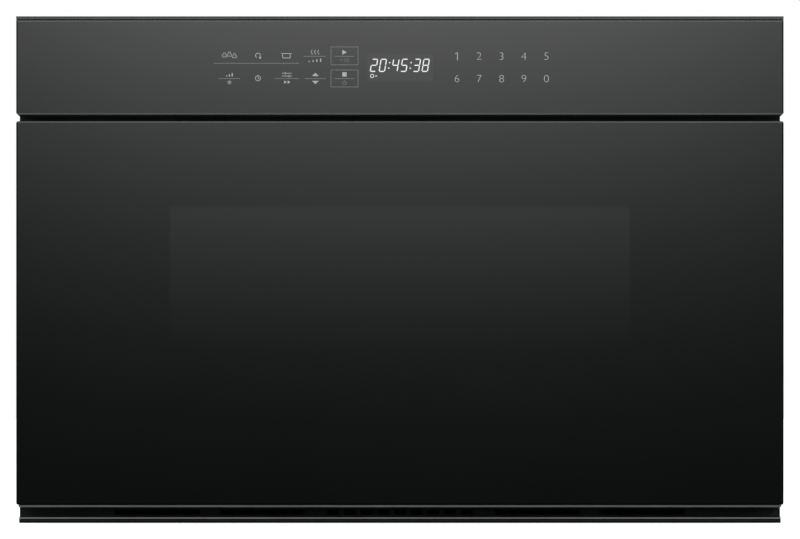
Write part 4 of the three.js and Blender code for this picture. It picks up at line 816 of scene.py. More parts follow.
def screw(bm: Mesh, place: Point, facing: Facing, radius: float = 4.0, height: float = 2.0) -> None:
    """Adds a hexagon screw head with its washer face.

    Args:
        bm: the mesh to add to.
        place: the middle of the seat.
        facing: the way that the head points.
        radius: radius of the washer face.
        height: height of the head over the seat.
    """
    stand, way = seat(place, facing.value), Vector(facing.value)
    cone(bm, stand, 20, (radius, radius * 0.88), (0.0, 0.35 * height))
    head = cone(bm, stand, 6, (radius * 0.68, radius * 0.68), (0.0, height))
    rim = [edge for edge in edges_of(head)
           if all((vert.co - Vector(place)).dot(way) > height - NEAR for vert in edge.verts)]
    round_off(bm, rim, 0.16 * height, 1)


def rivet(bm: Mesh, place: Point, facing: Facing, radius: float = 2.6, height: float = 1.0) -> None:
    """Adds a low domed rivet head.

    Args:
        bm: the mesh to add to.
        place: the middle of the seat.
        facing: the way that the head points.
        radius: radius of the head.
        height: height of the head over the seat.
    """
    stand, shoulder = seat(place, facing.value), 0.55 * height
    cone(bm, stand, 16, (radius, radius * 0.8), (0.0, shoulder))
    cone(bm, stand, 16, (radius * 0.8, radius * 0.35), (shoulder, height))


def swept_tube(bm: Mesh, points: Sequence[Point], radius: float, sides: int = 8) -> None:
    """Adds a round tube along points, closed at both ends.

    Args:
        bm: the mesh to add to.
        points: the middle line of the tube.
        radius: its radius.
        sides: how many sides it has.
    """
    rings = []
    for i, point in enumerate(points):
        ahead = Vector(points[min(i + 1, len(points) - 1)]) - Vector(points[max(i - 1, 0)])
        stand = seat(point, ahead.normalized())
        rings.append(bmesh.ops.create_circle(bm, segments=sides, radius=radius, matrix=stand)["verts"])
    for first, second in zip(rings, rings[1:]):
        bmesh.ops.bridge_loops(bm, edges=edges_of(first) + edges_of(second))
    for end in (rings[0], rings[-1]):
        bm.faces.new(end)


def tidy(bm: Mesh) -> None:
    """Merges doubled vertices and points the faces outwards."""
    bmesh.ops.remove_doubles(bm, verts=bm.verts, dist=MERGE)
    bmesh.ops.recalc_face_normals(bm, faces=bm.faces)


def finish_piece(name: str, bm: Mesh, *finishes: Finish, body: Body = Body.CHASSIS, replaces: Sequence[str] = (),
                 smooth: float = SMOOTH, clean: bool = True) -> None:
    """Turns a mesh in millimetres into a piece of the oven.

    Args:
        name: name of the piece.
        bm: its mesh, which is freed.
        *finishes: its finishes, by the material numbers of its faces.
        body: the body that it rides on.
        replaces: the nodes that it stands for.
        smooth: edges sharper than this many degrees stay sharp.
        clean: whether doubled vertices are merged and the faces turned outwards.
    """
    if clean:
        tidy(bm)
    bmesh.ops.scale(bm, vec=(MM, MM, MM), verts=bm.verts)
    mesh = bpy.data.meshes.new(name)
    bm.to_mesh(mesh)
    bm.free()
    for finish in finishes:
        mesh.materials.append(finish.material())
    mesh.polygons.foreach_set("use_smooth", [True] * len(mesh.polygons))
    mesh.set_sharp_from_angle(angle=math.radians(smooth))
    made = bpy.data.objects.new(name, mesh)
    bpy.context.scene.collection.objects.link(made)
    flat = made.modifiers.new("flat faces", "WEIGHTED_NORMAL")
    flat.keep_sharp = True
    flat.weight = 100
    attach(made, body.value)
    if replaces:
        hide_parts(*replaces)
    LOG.info("%s: %d faces on %s", name, len(mesh.polygons), body.value)


def copy_of_node(node: str) -> Mesh:
    """Copies a node's mesh in millimetres, merged and with its flat faces whole.

    Args:
        node: name of the node.

    Returns:
        The copy.
    """
    bm = bmesh.new()
    bm.from_mesh(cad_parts[node].data)
    bmesh.ops.scale(bm, vec=(1 / MM, 1 / MM, 1 / MM), verts=bm.verts)
    bmesh.ops.remove_doubles(bm, verts=bm.verts, dist=NODE_MERGE)
    bmesh.ops.dissolve_limit(bm, angle_limit=math.radians(NODE_FLAT), verts=bm.verts, edges=bm.edges,
                             use_dissolve_boundaries=False)
    for face in bm.faces:
        face.material_index = 0
    return bm


def refined(finish: Finish, width: float, *nodes: str, body: Body = Body.CHASSIS, steps: int = 2,
            smooth: float = SMOOTH) -> None:
    """Makes a piece from each node's own shape, with its sharp edges rounded.

    Args:
        finish: the finish of the pieces.
        width: how far their edges are rounded.
        *nodes: the nodes that the pieces replace.
        body: the body that they ride on.
        steps: segments of the rounding.
        smooth: edges sharper than this many degrees stay sharp.
    """
    for node in nodes:
        bm = copy_of_node(node)
        if width:
            round_off(bm, [edge for edge in bm.edges if len(edge.link_faces) == 2
                           and edge.calc_face_angle(0.0) > math.radians(SHARP)], width, steps)
        finish_piece(f"{node}_finished", bm, finish, body=body, replaces=(node,), smooth=smooth, clean=False)


class SubAssembly:
    """One sub-assembly of the oven."""

    def build(self) -> None:
        """Builds its pieces."""
        raise NotImplementedError


# ---------------------------------------------------------------- the printed marks


@dataclass
class Print:
    """One ink on the control glass, as a thin layer of closed strokes. Places are X and Z in millimetres."""

    name: str
    finish: Finish
    bm: Mesh = field(default_factory=bmesh.new)

    def stroke(self, start: Span, end: Span, width: float) -> None:
        """Adds a straight stroke.

        Args:
            start: where it starts.
            end: where it ends.
            width: its width.
        """
        way = Vector((end[0] - start[0], 0.0, end[1] - start[1]))
        centre = Vector(((start[0] + end[0]) / 2, FRONT + PRINT / 2, (start[1] + end[1]) / 2))
        half = Vector((way.length, PRINT * 0.9, width)) / 2
        verts = cuboid(self.bm, centre - half, centre + half)
        turn = Matrix.Rotation(-math.atan2(way.z, way.x), 3, "Y")
        bmesh.ops.rotate(self.bm, cent=centre, matrix=turn, verts=verts)

    def path(self, places: Sequence[Span], width: float) -> None:
        """Adds strokes through a row of places."""
        for start, end in zip(places, places[1:]):
            self.stroke(start, end, width)

    def box(self, low: Span, high: Span, width: float) -> None:
        """Adds the outline of a rectangle.

        Args:
            low: its lower corner.
            high: its upper corner.
            width: width of its strokes.
        """
        half = width / 2
        for z in (low[1], high[1]):
            self.stroke((low[0] - half, z), (high[0] + half, z), width)
        for x in (low[0], high[0]):
            self.stroke((x, low[1] + half), (x, high[1] - half), width)

    def arc(self, centre: Span, radius: float, width: float, start: float = 0.0, end: float = 360.0) -> None:
        """Adds part of a ring, between two angles in degrees from +X towards +Z."""
        self.path(arc_points(centre, radius, start, end, max(4, round((end - start) / 15))), width)

    def shape(self, *places: Span) -> None:
        """Adds a filled outline through some places."""
        outline(self.bm, places, Axis.Y, (FRONT + PRINT * 0.05, FRONT + PRINT * 0.95))

    def text(self, words: str, centre: Span, height: float, thinner: float, wide: float) -> None:
        """Adds figures of a given height about a centre.

        Args:
            words: the figures.
            centre: their middle.
            height: their height.
            thinner: how much each stroke loses on each side.
            wide: their width, as a share of the usual.
        """
        curve = bpy.data.curves.new(f"{self.name}_{words}", "FONT")
        curve.body = words
        curve.size = height / FIGURE_SHARE
        curve.align_x = "CENTER"
        curve.offset = -thinner
        curve.extrude = PRINT * 0.45
        curve.resolution_u = 4
        holder = bpy.data.objects.new(curve.name, curve)
        bpy.context.scene.collection.objects.link(holder)
        bpy.context.view_layer.update()
        mesh = bpy.data.meshes.new_from_object(holder.evaluated_get(bpy.context.evaluated_depsgraph_get()))
        bpy.data.objects.remove(holder)
        bpy.data.curves.remove(curve)
        heights = [vert.co.y for vert in mesh.vertices]
        mesh.transform(Matrix.Translation((centre[0], FRONT + PRINT / 2, centre[1]))
                       @ Matrix.Rotation(math.radians(90), 4, "X")
                       @ Matrix.Diagonal((wide, 1.0, 1.0, 1.0))
                       @ Matrix.Translation((0.0, -(min(heights) + max(heights)) / 2, 0.0)))
        self.bm.from_mesh(mesh)
        bpy.data.meshes.remove(mesh)

    def piece(self) -> None:
        """Makes the piece of this ink."""
        finish_piece(self.name, self.bm, self.finish)


# the ends of each segment of a figure, as column and row, and the segments of each figure
SEGMENTS = {"a": ((0, 2), (1, 2)), "g": ((0, 1), (1, 1)), "d": ((0, 0), (1, 0)), "f": ((0, 1), (0, 2)),
            "b": ((1, 1), (1, 2)), "e": ((0, 0), (0, 1)), "c": ((1, 0), (1, 1))}
FIGURES = dict(zip("0123456789", ("abcdef", "bc", "abged", "abgcd", "fgbc", "afgcd", "afgedc", "abc", "abcdefg",
                                  "abcdfg")))


@dataclass
class ControlMarks(SubAssembly):
    """The marks on the control glass: keys with plain pictures, figures, and the lit clock."""

    line: float = 0.42
    pen: float = 0.5
    bold: float = 0.9
    start_key: Span = (361.7, 375.8)
    stop_key: Span = (344.2, 357.6)
    key_sides: Span = (-54.4, -33.1)
    key_inset: float = 3.0
    upper_rule: float = 368.4
    lower_rule: float = 350.8
    sensor_row: float = 369.0
    sensor_rule: float = 362.9
    function_rows: Span = (347.9, 353.9)
    figure_columns: tuple[float, ...] = (45.1, 62.5, 80.3, 97.9, 115.7)
    figure_rows: Span = (368.5, 350.8)
    figure_height: float = 6.45
    clock: str = "20:45:38"
    clock_low: float = 356.1
    clock_high: float = 366.5
    clock_sides: Span = (-23.9, 24.1)
    clock_slant: float = 0.17
    clock_stroke: float = 0.8
    clock_gap: float = 0.32  # between the ends of two segments
    figure_space: float = 1.9
    colon_share: float = 0.42  # width of a colon, as a share of a figure's
    colon_heights: Span = (0.28, 0.7)  # of its dots, as shares of a figure's
    colon_half: float = 0.5
    pale: Print = field(default_factory=lambda: Print("marks_pale", INK))
    dim: Print = field(default_factory=lambda: Print("marks_dim", DIM_INK))
    rules: Print = field(default_factory=lambda: Print("marks_rules", LINE_INK))
    lit: Print = field(default_factory=lambda: Print("clock_segments", SEGMENT))

    def build(self) -> None:
        """Prints every mark."""
        self.figures()
        self.key_rules()
        self.sensor_keys()
        self.function_keys()
        self.run_keys()
        self.clock_segments()
        for layer in (self.pale, self.dim, self.rules, self.lit):
            layer.piece()

    def figures(self) -> None:
        """Prints the number keys."""
        half = self.figure_height / 2
        for row, words in zip(self.figure_rows, ("12345", "67890")):
            for column, word in zip(self.figure_columns, words):
                if word == "1":  # as a plain stroke with a flag
                    stem, top = column + 0.35, row + half
                    self.pale.path(((column - 1.35, top - 1.25), (stem, top - 0.3), (stem, row - half)), 0.62)
                else:
                    self.pale.text(word, (column, row), self.figure_height, 0.2, 1.09)

    def key_rules(self) -> None:
        """Prints the rules between the words of the keys, and the frames of two of them."""
        left, right = self.key_sides
        inner = (left + self.key_inset, right - self.key_inset)
        for height, reaches in ((self.sensor_rule, ((-146.9, -79.7),)), (self.upper_rule, ((-75.8, -58.4), inner)),
                                (self.lower_rule, ((-142.9, -126.3), (-98.7, -79.7), (-75.0, -58.4), inner))):
            for start, end in reaches:
                self.rules.stroke((start, height), (end, height), self.line)
        for low, high in (self.start_key, self.stop_key):
            self.rules.box((left, low), (right, high), self.line)

    def sensor_keys(self) -> None:
        """Prints the upper row of pictures and the two-line key beside it."""
        pale, row, pen = self.pale, self.sensor_row, self.pen
        for x, lift in ((-138.6, 0.24), (-134.6, 0.88), (-130.6, -0.32)):  # popped kernels
            for place in arc_points((x, row + lift), 1.0, 90, 330, 2):
                pale.arc(place, 0.95, self.line)
        pale.arc((-112.1, row), 1.9, pen, -50, 240)  # warming again
        pale.shape((-109.2, row - 1.0), (-111.6, row - 1.0), (-110.4, row - 2.9))
        rim, foot = row + 1.6, row - 1.9  # a pot
        pale.path(((-92.6, rim), (-92.6, foot), (-86.6, foot), (-86.6, rim)), pen)
        pale.stroke((-93.8, rim), (-85.4, rim), pen)
        for x in (-69.7, -67.1, -64.5):  # rising heat
            pale.path([(x + 0.5 * math.sin(1.25 * i), 369.8 + 0.6 * i) for i in range(7)], 0.45)
        for i in range(4):  # levels
            pale.stroke((-71.6 + 3.0 * i, 364.0), (-71.6 + 3.0 * i, 364.8 + 0.6 * i), self.bold)

    def function_keys(self) -> None:
        """Prints the lower row of pictures."""
        pale, line, (low, high) = self.pale, self.line, self.function_rows
        for x, height in ((-136.8, 0.9), (-134.6, 1.7), (-132.4, 2.6)):  # power levels
            pale.stroke((x, high - 1.4), (x, high - 1.4 + height), self.bold)
        for turn in (30, 90, 150):  # a flake, for thawing
            pale.path(arc_points((-134.6, low), 1.7, turn + 180, turn, 1), line)
        pale.arc((-112.1, 351.1), 2.0, self.pen)  # a clock
        pale.path(((-112.1, 352.4), (-112.1, 351.1), (-111.2, 350.6)), line)
        for z, knob in ((high + 1.1, -90.6), (high - 1.1, -87.6)):  # settings
            pale.stroke((-93.2, z), (-85.2, z), line)
            pale.stroke((knob, z - 0.9), (knob, z + 0.9), self.bold)
        for left in (-91.4, -88.6):  # quick start
            pale.shape((left, low - 1.2), (left, low + 1.5), (left + 2.1, low + 0.15))
        pale.shape((-69.4, high - 1.1), (-66.7, high + 1.4), (-64.0, high - 1.1))  # drawer out and in
        pale.shape((-69.4, low + 1.1), (-64.0, low + 1.1), (-66.7, low - 1.4))

    def run_keys(self) -> None:
        """Prints the pictures of the two framed keys, which start and stop the oven."""
        centre, half = sum(self.key_sides) / 2, 1.7
        left, right = about(centre, half)
        self.pale.shape((left, 369.7), (left, 373.5), (centre + 1.9, 371.6))
        self.dim.text("+30", (centre, 365.3), 3.0, 0.02, 1.15)
        self.pale.shape((left, 352.4), (left, 355.8), (right, 355.8), (right, 352.4))
        self.dim.arc((centre, 347.5), 1.5, 0.6, 130, 410)
        self.dim.stroke((centre, 347.5), (centre, 349.6), 0.6)

    def clock_segments(self) -> None:
        """Lights the slanted figures of the clock and the small mark under them."""
        cells = sum(self.colon_share if char == ":" else 1.0 for char in self.clock)
        slant = self.clock_slant * (self.clock_high - self.clock_low)
        x, right = self.clock_sides
        pitch = (right - x - slant + 1.6) / cells
        for char in self.clock:
            if char == ":":
                self.colon(x + pitch * (self.colon_share / 2 - 0.12))
                x += pitch * self.colon_share
            else:
                self.figure(char, x, pitch - self.figure_space)
                x += pitch
        self.lit.arc((-21.9, 352.9), 1.35, 0.45)
        self.lit.stroke((-19.6, 352.9), (-17.9, 352.9), 0.55)

    def leaning(self, x: float, z: float) -> Span:
        """Returns a place leaned over by its height over the foot of the clock."""
        return x + self.clock_slant * (z - self.clock_low), z

    def colon(self, x: float) -> None:
        """Lights the two dots of a colon.

        Args:
            x: their middle at the foot.
        """
        for share in self.colon_heights:
            low, high = about(self.clock_low + (self.clock_high - self.clock_low) * share, self.colon_half)
            self.lit.stroke(self.leaning(x, low), self.leaning(x, high), self.bold)

    def figure(self, char: str, x: float, wide: float) -> None:
        """Lights one seven-segment figure.

        Args:
            char: the figure.
            x: its left side at the foot.
            wide: its width.
        """
        half, gap = self.clock_stroke / 2, self.clock_gap
        columns = (x + half, x + wide - half)
        rows = (self.clock_low + half, (self.clock_low + self.clock_high) / 2, self.clock_high - half)
        for name, ((left, foot), (right, head)) in SEGMENTS.items():
            if name in FIGURES[char]:
                dx, dz = gap * (right - left), gap * (head - foot)
                self.lit.stroke(self.leaning(columns[left] + dx, rows[foot] + dz),
                                self.leaning(columns[right] - dx, rows[head] - dz), self.clock_stroke)


# ---------------------------------------------------------------- the sub-assemblies


def glass_plate(node: str, points: Sequence[Span], face: Finish, body: Body, edge: float, lit_below: bool) -> None:
    """Makes a front glass with ground edges.

    Args:
        node: the node that it replaces.
        points: its outline in X and Z.
        face: the finish of its face.
        body: the body that it rides on.
        edge: width of the ground edge.
        lit_below: whether its lower edge takes a painted highlight as pale as its upper one, and its sides a painted
            shade paler than black.
    """
    bm = bmesh.new()
    outline(bm, points, Axis.Y, (FRONT + PRINT, FRONT + GLASS))
    tidy(bm)
    round_off(bm, edges_at(bm.verts, Axis.Y, FRONT + PRINT), edge, 3)
    bm.normal_update()
    # the ground faces take the edge copies by the way they face: a painted highlight above, and below on the control
    # glass; painted shade on the sides, and below on the door glass
    for item in bm.faces:
        if abs(item.normal.y) < 0.985:  # not its face or its back
            below = 3 if lit_below and item.normal.z < -0.2 else 2
            item.material_index = 1 if item.normal.z > 0.2 else below
    side = PANEL_SIDE_PAINTED_SHADE if lit_below else GLASS_SIDE_PAINTED_SHADE
    finish_piece(f"{node}_face", bm, face, GLASS_EDGE_AND_HIGHLIGHT, side, GLASS_LOWER_PAINTED_HIGHLIGHT, body=body, replaces=(node,), smooth=50.0)


@dataclass
class ControlPanel(SubAssembly):
    """The fixed panel over the drawer: its glass, cap, housing, display and board."""

    half: float = 303.0
    bottom: float = 322.2
    top: float = 397.1
    corner: float = 1.3
    ground_edge: float = 1.3
    cap_top: float = 400.0
    cap_lip: float = 2.55
    cap_fold: float = 2.0
    cap_round: float = 1.0
    cap_sheet: float = 1.2
    cap_back: float = -261.3
    window_low: Span = (-25.6, 348.5)
    window_high: Span = (26.2, 370.2)

    def build(self) -> None:
        """Builds the panel."""
        half, low, cut = self.half, self.bottom, self.corner
        points = ((-half, self.top), (-half, low + cut), (-half + cut, low), (half - cut, low),
                  (half, low + cut), (half, self.top))
        glass_plate("control_glass", points, BLACK_GLASS, Body.CHASSIS, self.ground_edge, True)
        self.cap()
        # the housing's own black, made darker and duller as painted shade where it shows in the gap over the door
        refined(BLACK_MOULDING_AND_SHADE, 0.3, "control_housing")
        refined(BLACK_PLASTIC, 0.4, "display_module")
        refined(BOARD_GREEN, 0.0, "control_board")
        self.display_window()
        ControlMarks().build()

    def cap(self) -> None:
        """Builds the metal cap along the top."""
        lip, under, fold = self.cap_top - self.cap_lip, self.cap_top - self.cap_sheet, FRONT + self.cap_fold
        bm = bmesh.new()
        outline(bm, ((FRONT, lip), (fold, lip), (fold, under), (self.cap_back, under), (self.cap_back, self.cap_top),
                     (FRONT, self.cap_top)), Axis.X, (-self.half, self.half))
        tidy(bm)
        nose = [edge for edge in edges_at(bm.verts, Axis.Y, FRONT)
                if abs(edge.verts[0].co.z - edge.verts[1].co.z) < NEAR]
        round_off(bm, nose, self.cap_round, 2)
        bm.normal_update()
        # the upper rounding of the nose takes the darker trim copy, a painted shade
        for item in bm.faces:
            item.material_index = int(-0.99 < item.normal.y < -0.05 and item.normal.z > 0.05)
        finish_piece("top_trim_cap", bm, DARK_TRIM, TRIM_SHADE, replaces=("top_trim",))

    def display_window(self) -> None:
        """Builds the smoked window that the clock shines through."""
        bm = bmesh.new()
        (left, low), (right, high) = self.window_low, self.window_high
        cuboid(bm, (left, FRONT + PRINT * 0.6, low), (right, FRONT + PRINT, high))
        finish_piece("display_window", bm, DISPLAY_GLASS)


@dataclass
class Chassis(SubAssembly):
    """The fixed metalwork: front frame, base, sides, back, cover, sill and grille."""

    half: float = 278.0
    back: float = 289.0
    cover_top: float = 371.0
    sill_half: float = 300.7
    sill_front: float = -293.5
    sill_back: float = -261.3
    sill_top: float = 4.4
    sill_chamfer: float = 1.25
    sill_wall: float = 1.4
    sill_line: float = 0.2
    sill_line_heights: Span = (1.45, 1.85)
    sunk: float = 0.5  # how far the foot of a pressing lies in its sheet
    bead_rows: tuple[float, ...] = (140.0, 215.0, 290.0)
    bead_reach: Span = (-210.0, 240.0)
    bead_half: float = 6.0
    bead_rise: float = 2.0
    rear_columns: tuple[float, ...] = (-190.0, -95.0, 0.0, 95.0)
    rear_reach: Span = (40.0, 225.0)
    field_reach: Span = (-190.0, 215.0)
    slide_height: float = 85.2
    louvre_rows: tuple[float, ...] = (312.0, 321.0, 330.0, 339.0)
    louvre_columns: tuple[float, ...] = (66.0, 124.0, 182.0)
    louvre_half: float = 24.0
    seal_half: float = 284.4
    seal_heights: Span = (15.6, 311.0)
    seal_depths: Span = (-262.4, -260.9)
    seal_wide: float = 3.4
    seal_corner: float = 7.0
    latch_x: float = 200.0
    latch_slot: Span = (290.1, 304.5)
    bezel_heights: Span = (286.8, 307.8)
    cover_screws: tuple[float, ...] = (-230.0, -60.0, 110.0, 265.0)
    frame_screws: tuple[float, ...] = (36.0, 198.4, 360.8)
    foot_screws: tuple[float, ...] = (-235.0, -80.0, 80.0, 235.0)
    post_rivets: tuple[float, ...] = (120.0, 200.0, 280.0, 350.0)
    rear_screws: tuple[float, ...] = (40.0, 140.0, 240.0, 340.0)
    base_height: float = 7.0
    fan: Span = (165.0, 307.0)
    fan_half: float = 52.0
    backing_low: Point = (-274.5, -259.0, 1.6)
    backing_high: Point = (274.5, -258.2, 14.5)

    def build(self) -> None:
        """Builds the chassis."""
        refined(BLACK_PAINT, 0.2, "face_frame")
        refined(ZINC, 0.2, "base_pan", "side_panel_left", "side_panel_right", "rear_panel", "top_cover")
        refined(GRILLE_BLACK, 0.25, "vent_grille")
        refined(BLACK_PLASTIC, 0.5, "cord_gland")
        self.sill()
        self.side_pressings()
        self.rear_and_cover_pressings()
        self.front_fittings()
        self.fasteners()

    def sill(self) -> None:
        """Builds the strip under the door."""
        half, front, back, top, cut = self.sill_half, self.sill_front, self.sill_back, self.sill_top, self.sill_chamfer
        nose, fold, under = front + self.sill_wall + cut, back - self.sill_wall, top - self.sill_wall
        bm = bmesh.new()
        outline(bm, ((front, 0.0), (nose, 0.0), (nose, under), (fold, under), (fold, 0.0), (back, 0.0), (back, top),
                     (front + cut, top), (front, top - cut)), Axis.X, (-half, half))
        tidy(bm)
        # the chamfer facing up and out takes the bright copy: a painted highlight on the gloss black sill
        for item in bm.faces:
            item.material_index = int(item.normal.y < -0.3 and item.normal.z > 0.3)
        low, high = self.sill_line_heights
        cuboid(bm, (-half, front - self.sill_line, low), (half, front + 0.3, high))
        for item in bm.faces:
            if item.calc_center_median().y < front and item.normal.y < -0.9:
                item.material_index = 2
        finish_piece("sill_strip", bm, SILL_BLACK, SILL_NOSE_PAINTED_HIGHLIGHT, SILL_LINE, replaces=("sill_trim",))

    def side_pressings(self) -> None:
        """Presses beads and louvres into the sides."""
        for side, name in zip(SIDES, SIDE_NAMES):
            bm = bmesh.new()
            levels = (side * (self.half - self.sunk), side * (self.half + self.bead_rise))
            for row in self.bead_rows:
                pressed(bm, self.bead_reach, about(row, self.bead_half), self.bead_half, Axis.X, levels,
                        self.bead_rise * 0.8)
            finish_piece(f"side_beads_{name}", bm, ZINC)
            bm = bmesh.new()
            for row in self.louvre_rows:
                for column in self.louvre_columns:
                    self.louvre(bm, side, column, row)
            finish_piece(f"side_louvres_{name}", bm, ZINC, BLACK_MOULDING_AND_SHADE)

    def rear_and_cover_pressings(self) -> None:
        """Presses beads into the back and raised fields into the cover."""
        bm = bmesh.new()
        for x in self.rear_columns:
            pressed(bm, about(x, self.bead_half), self.rear_reach, self.bead_half, Axis.Y,
                    (self.back - self.sunk, self.back + self.bead_rise), self.bead_rise * 0.8)
        finish_piece("rear_beads", bm, ZINC)
        bm = bmesh.new()
        for x, half, corner, rise, soft in ((0.0, 104.0, 16.0, 1.5, 1.3), (-222.0, 26.0, 12.0, 1.2, 1.0),
                                            (222.0, 26.0, 12.0, 1.2, 1.0)):
            pressed(bm, about(x, half), self.field_reach, corner, Axis.Z,
                    (self.cover_top - self.sunk, self.cover_top + rise), soft)
        finish_piece("cover_pressings", bm, ZINC)

    def louvre(self, bm: Mesh, side: int, y: float, z: float) -> None:
        """Adds one louvre, whose open lower face and a strip on the wall under it are painted dark as painted shade.

        Args:
            bm: the mesh to add to.
            side: the side of the oven.
            y: its middle.
            z: its lower edge.
        """
        wall, out = side * (self.half - 0.3), side * (self.half + 1.9)
        crown = (wall + out * 2) / 3
        verts = outline(bm, ((wall, z), (out, z + 0.2), (out, z + 1.6), (crown, z + 4.4), (wall, z + 6.6)), Axis.Y,
                        about(y, self.louvre_half))
        for vert in verts:
            if abs(vert.co.x) > self.half + 0.5:
                vert.co.y += math.copysign(1.6, y - vert.co.y)
        bm.normal_update()
        # the face across the open mouth is painted dark: painted shade where the opening is
        for item in {face for vert in verts for face in vert.link_faces}:
            item.material_index = int(abs(item.calc_center_median().z - z) < 0.3)
        # the block called slot is a dark strip on the wall under the mouth: a painted shadow
        near, far = sorted((wall, side * (self.half + 0.06)))
        start, end = about(y, self.louvre_half - 1.0)
        slot = cuboid(bm, (near, start, z - 1.5), (far, end, z + 0.1))
        for item in {face for vert in slot for face in vert.link_faces}:
            item.material_index = 1

    def front_fittings(self) -> None:
        """Puts the door seal and the bezels of the latch slots on the face frame, and a dark plate behind the grille
        as painted shade.
        """
        half, (low, high), wide, depths = self.seal_half, self.seal_heights, self.seal_wide, self.seal_depths
        bm = bmesh.new()
        verts = ring(bm, rounded((-half, half), (low, high), self.seal_corner),
                     rounded((wide - half, half - wide), (low + wide, high - wide), self.seal_corner - wide),
                     Axis.Y, depths)
        front = [edge for edge in edges_at(verts, Axis.Y, depths[0])
                 if len(edge.link_faces) == 2 and edge.calc_face_angle(0.0) > 0.5]
        round_off(bm, front, 0.7, 2)
        finish_piece("door_seal", bm, RUBBER)
        bm = bmesh.new()
        for side in SIDES:
            x = side * self.latch_x
            ring(bm, rounded(about(x, 8.0), self.bezel_heights, 2.5), rounded(about(x, 5.1), self.latch_slot, 0.8),
                 Axis.Y, (-262.2, -260.9))
        finish_piece("latch_bezels", bm, BLACK_PLASTIC)
        # a dark plate behind the grille: painted shade for what shows through it
        bm = bmesh.new()
        eased(bm, self.backing_low, self.backing_high, 0.25)
        finish_piece("grille_backing", bm, BLACK_MOULDING_AND_SHADE)

    def fasteners(self) -> None:
        """Puts in the screws and rivets."""
        bm = bmesh.new()
        for side in SIDES:
            wall, facing = side * self.half, Facing.outward(side)
            for y in self.cover_screws:
                screw(bm, (side * 270.0, y, self.cover_top), Facing.UP)
            for z in self.frame_screws:
                screw(bm, (side * 289.7, -261.0, z), Facing.FRONT, 3.6, 1.6)
            for y in self.foot_screws:
                screw(bm, (wall, y, self.base_height), facing)
                rivet(bm, (wall, y, self.slide_height), facing)
            for y in (-245.0, 275.0):
                for z in self.post_rivets:
                    rivet(bm, (wall, y, z), facing)
            for z in self.rear_screws:
                screw(bm, (side * 271.0, self.back, z), Facing.BACK)
        for x in about(self.fan[0], self.fan_half):
            for z in about(self.fan[1], self.fan_half):
                screw(bm, (x, self.back, z), Facing.BACK, 3.6, 1.8)
        for x in (-180.0, 0.0, 180.0):
            screw(bm, (x, self.back, self.base_height), Facing.BACK)
        finish_piece("chassis_fasteners", bm, SCREW_STEEL)


@dataclass
class Cavity(SubAssembly):
    """The cooking cavity and its lamp."""

    side_beads: tuple[float, ...] = (140.0, 185.0, 230.0)
    side_levels: Span = (230.6, 232.6)
    roof_levels: Span = (262.6, 264.4)
    back_levels: Span = (183.9, 186.0)
    roof_fields: tuple[tuple[Span, Span], ...] = (((120.0, 210.0), (-180.0, 150.0)), ((-210.0, -122.0), (20.0, 150.0)))
    weld_pitch: float = 24.0
    weld_size: Span = (2.6, 0.4)
    hole_corner: Point = (120.0, 183.25, 206.0)
    hole_pitch: Span = (6.0, 5.2)
    cover_middle: float = -46.7
    lamp: Span = (-148.0, -175.5)

    def build(self) -> None:
        """Builds the cavity."""
        refined(CAVITY_ENAMEL, 0.3, "cavity_wrapper", "cavity_floor", "cavity_back")
        refined(WHITE_PLASTIC, 0.4, "cavity_lamp")
        refined(WHITE_PLASTIC, 0.3, "stirrer_cover")
        self.outer_pressings()
        self.welds()
        self.ceiling_fittings()
        self.air_holes()

    def outer_pressings(self) -> None:
        """Presses stiffening beads and fields into the outside of the cavity."""
        bm = bmesh.new()
        for side in SIDES:
            for row in self.side_beads:
                pressed(bm, (-205.0, 140.0), about(row, 6.0), 6.0, Axis.X,
                        tuple(side * level for level in self.side_levels), 1.5)
        for wide, deep in self.roof_fields:
            pressed(bm, wide, deep, 12.0, Axis.Z, self.roof_levels, 1.4)
        pressed(bm, (-190.0, 190.0), (100.0, 236.0), 16.0, Axis.Y, self.back_levels, 1.6)
        finish_piece("cavity_pressings", bm, CAVITY_ENAMEL)

    def welds(self) -> None:
        """Spot-welds the seams at the back of the cavity."""
        bm = bmesh.new()
        for side in SIDES:
            for i in range(8):
                height = 78.0 + self.weld_pitch * i
                rivet(bm, (side * 231.0, 174.0, height), Facing.outward(side), *self.weld_size)
                rivet(bm, (side * 218.0, 184.3, height), Facing.BACK, *self.weld_size)
            for i in range(6):
                rivet(bm, (side * (86.0 + self.weld_pitch * i), 174.0, 263.0), Facing.UP, *self.weld_size)
        finish_piece("cavity_welds", bm, CAVITY_ENAMEL)

    def ceiling_fittings(self) -> None:
        """Puts the clips of the stirrer's cover and the ring of the lamp on the ceiling."""
        bm = bmesh.new()
        for x in about(0.0, 96.0):
            for y in about(self.cover_middle, 96.0):
                turned(bm, ((0.0, -1.3), (3.2, -1.3), (4.4, -0.5), (4.4, 0.2), (0.0, 0.2)), Axis.Z, (x, y, 260.0), 20)
        turned(bm, ((18.4, 1.1), (18.4, -0.2), (19.4, -0.8), (21.4, -0.8), (22.4, 0.0), (22.4, 1.1)), Axis.Z,
               (*self.lamp, 261.0), 40)
        finish_piece("ceiling_fittings", bm, WHITE_PLASTIC)

    def air_holes(self) -> None:
        """Marks the air holes for the fan on the back wall as thin dark discs: painted shade where the holes are."""
        bm, (x, y, z), (wide, tall) = bmesh.new(), self.hole_corner, self.hole_pitch
        for column in range(16):
            for row in range(6):
                place = (x + wide * (column + row % 2 / 2), y, z + tall * row)
                cone(bm, seat(place, Facing.FRONT.value), 10, (1.7, 1.7), about(0.0, 0.05))
        finish_piece("cavity_air_holes", bm, BLACK_MOULDING_AND_SHADE)


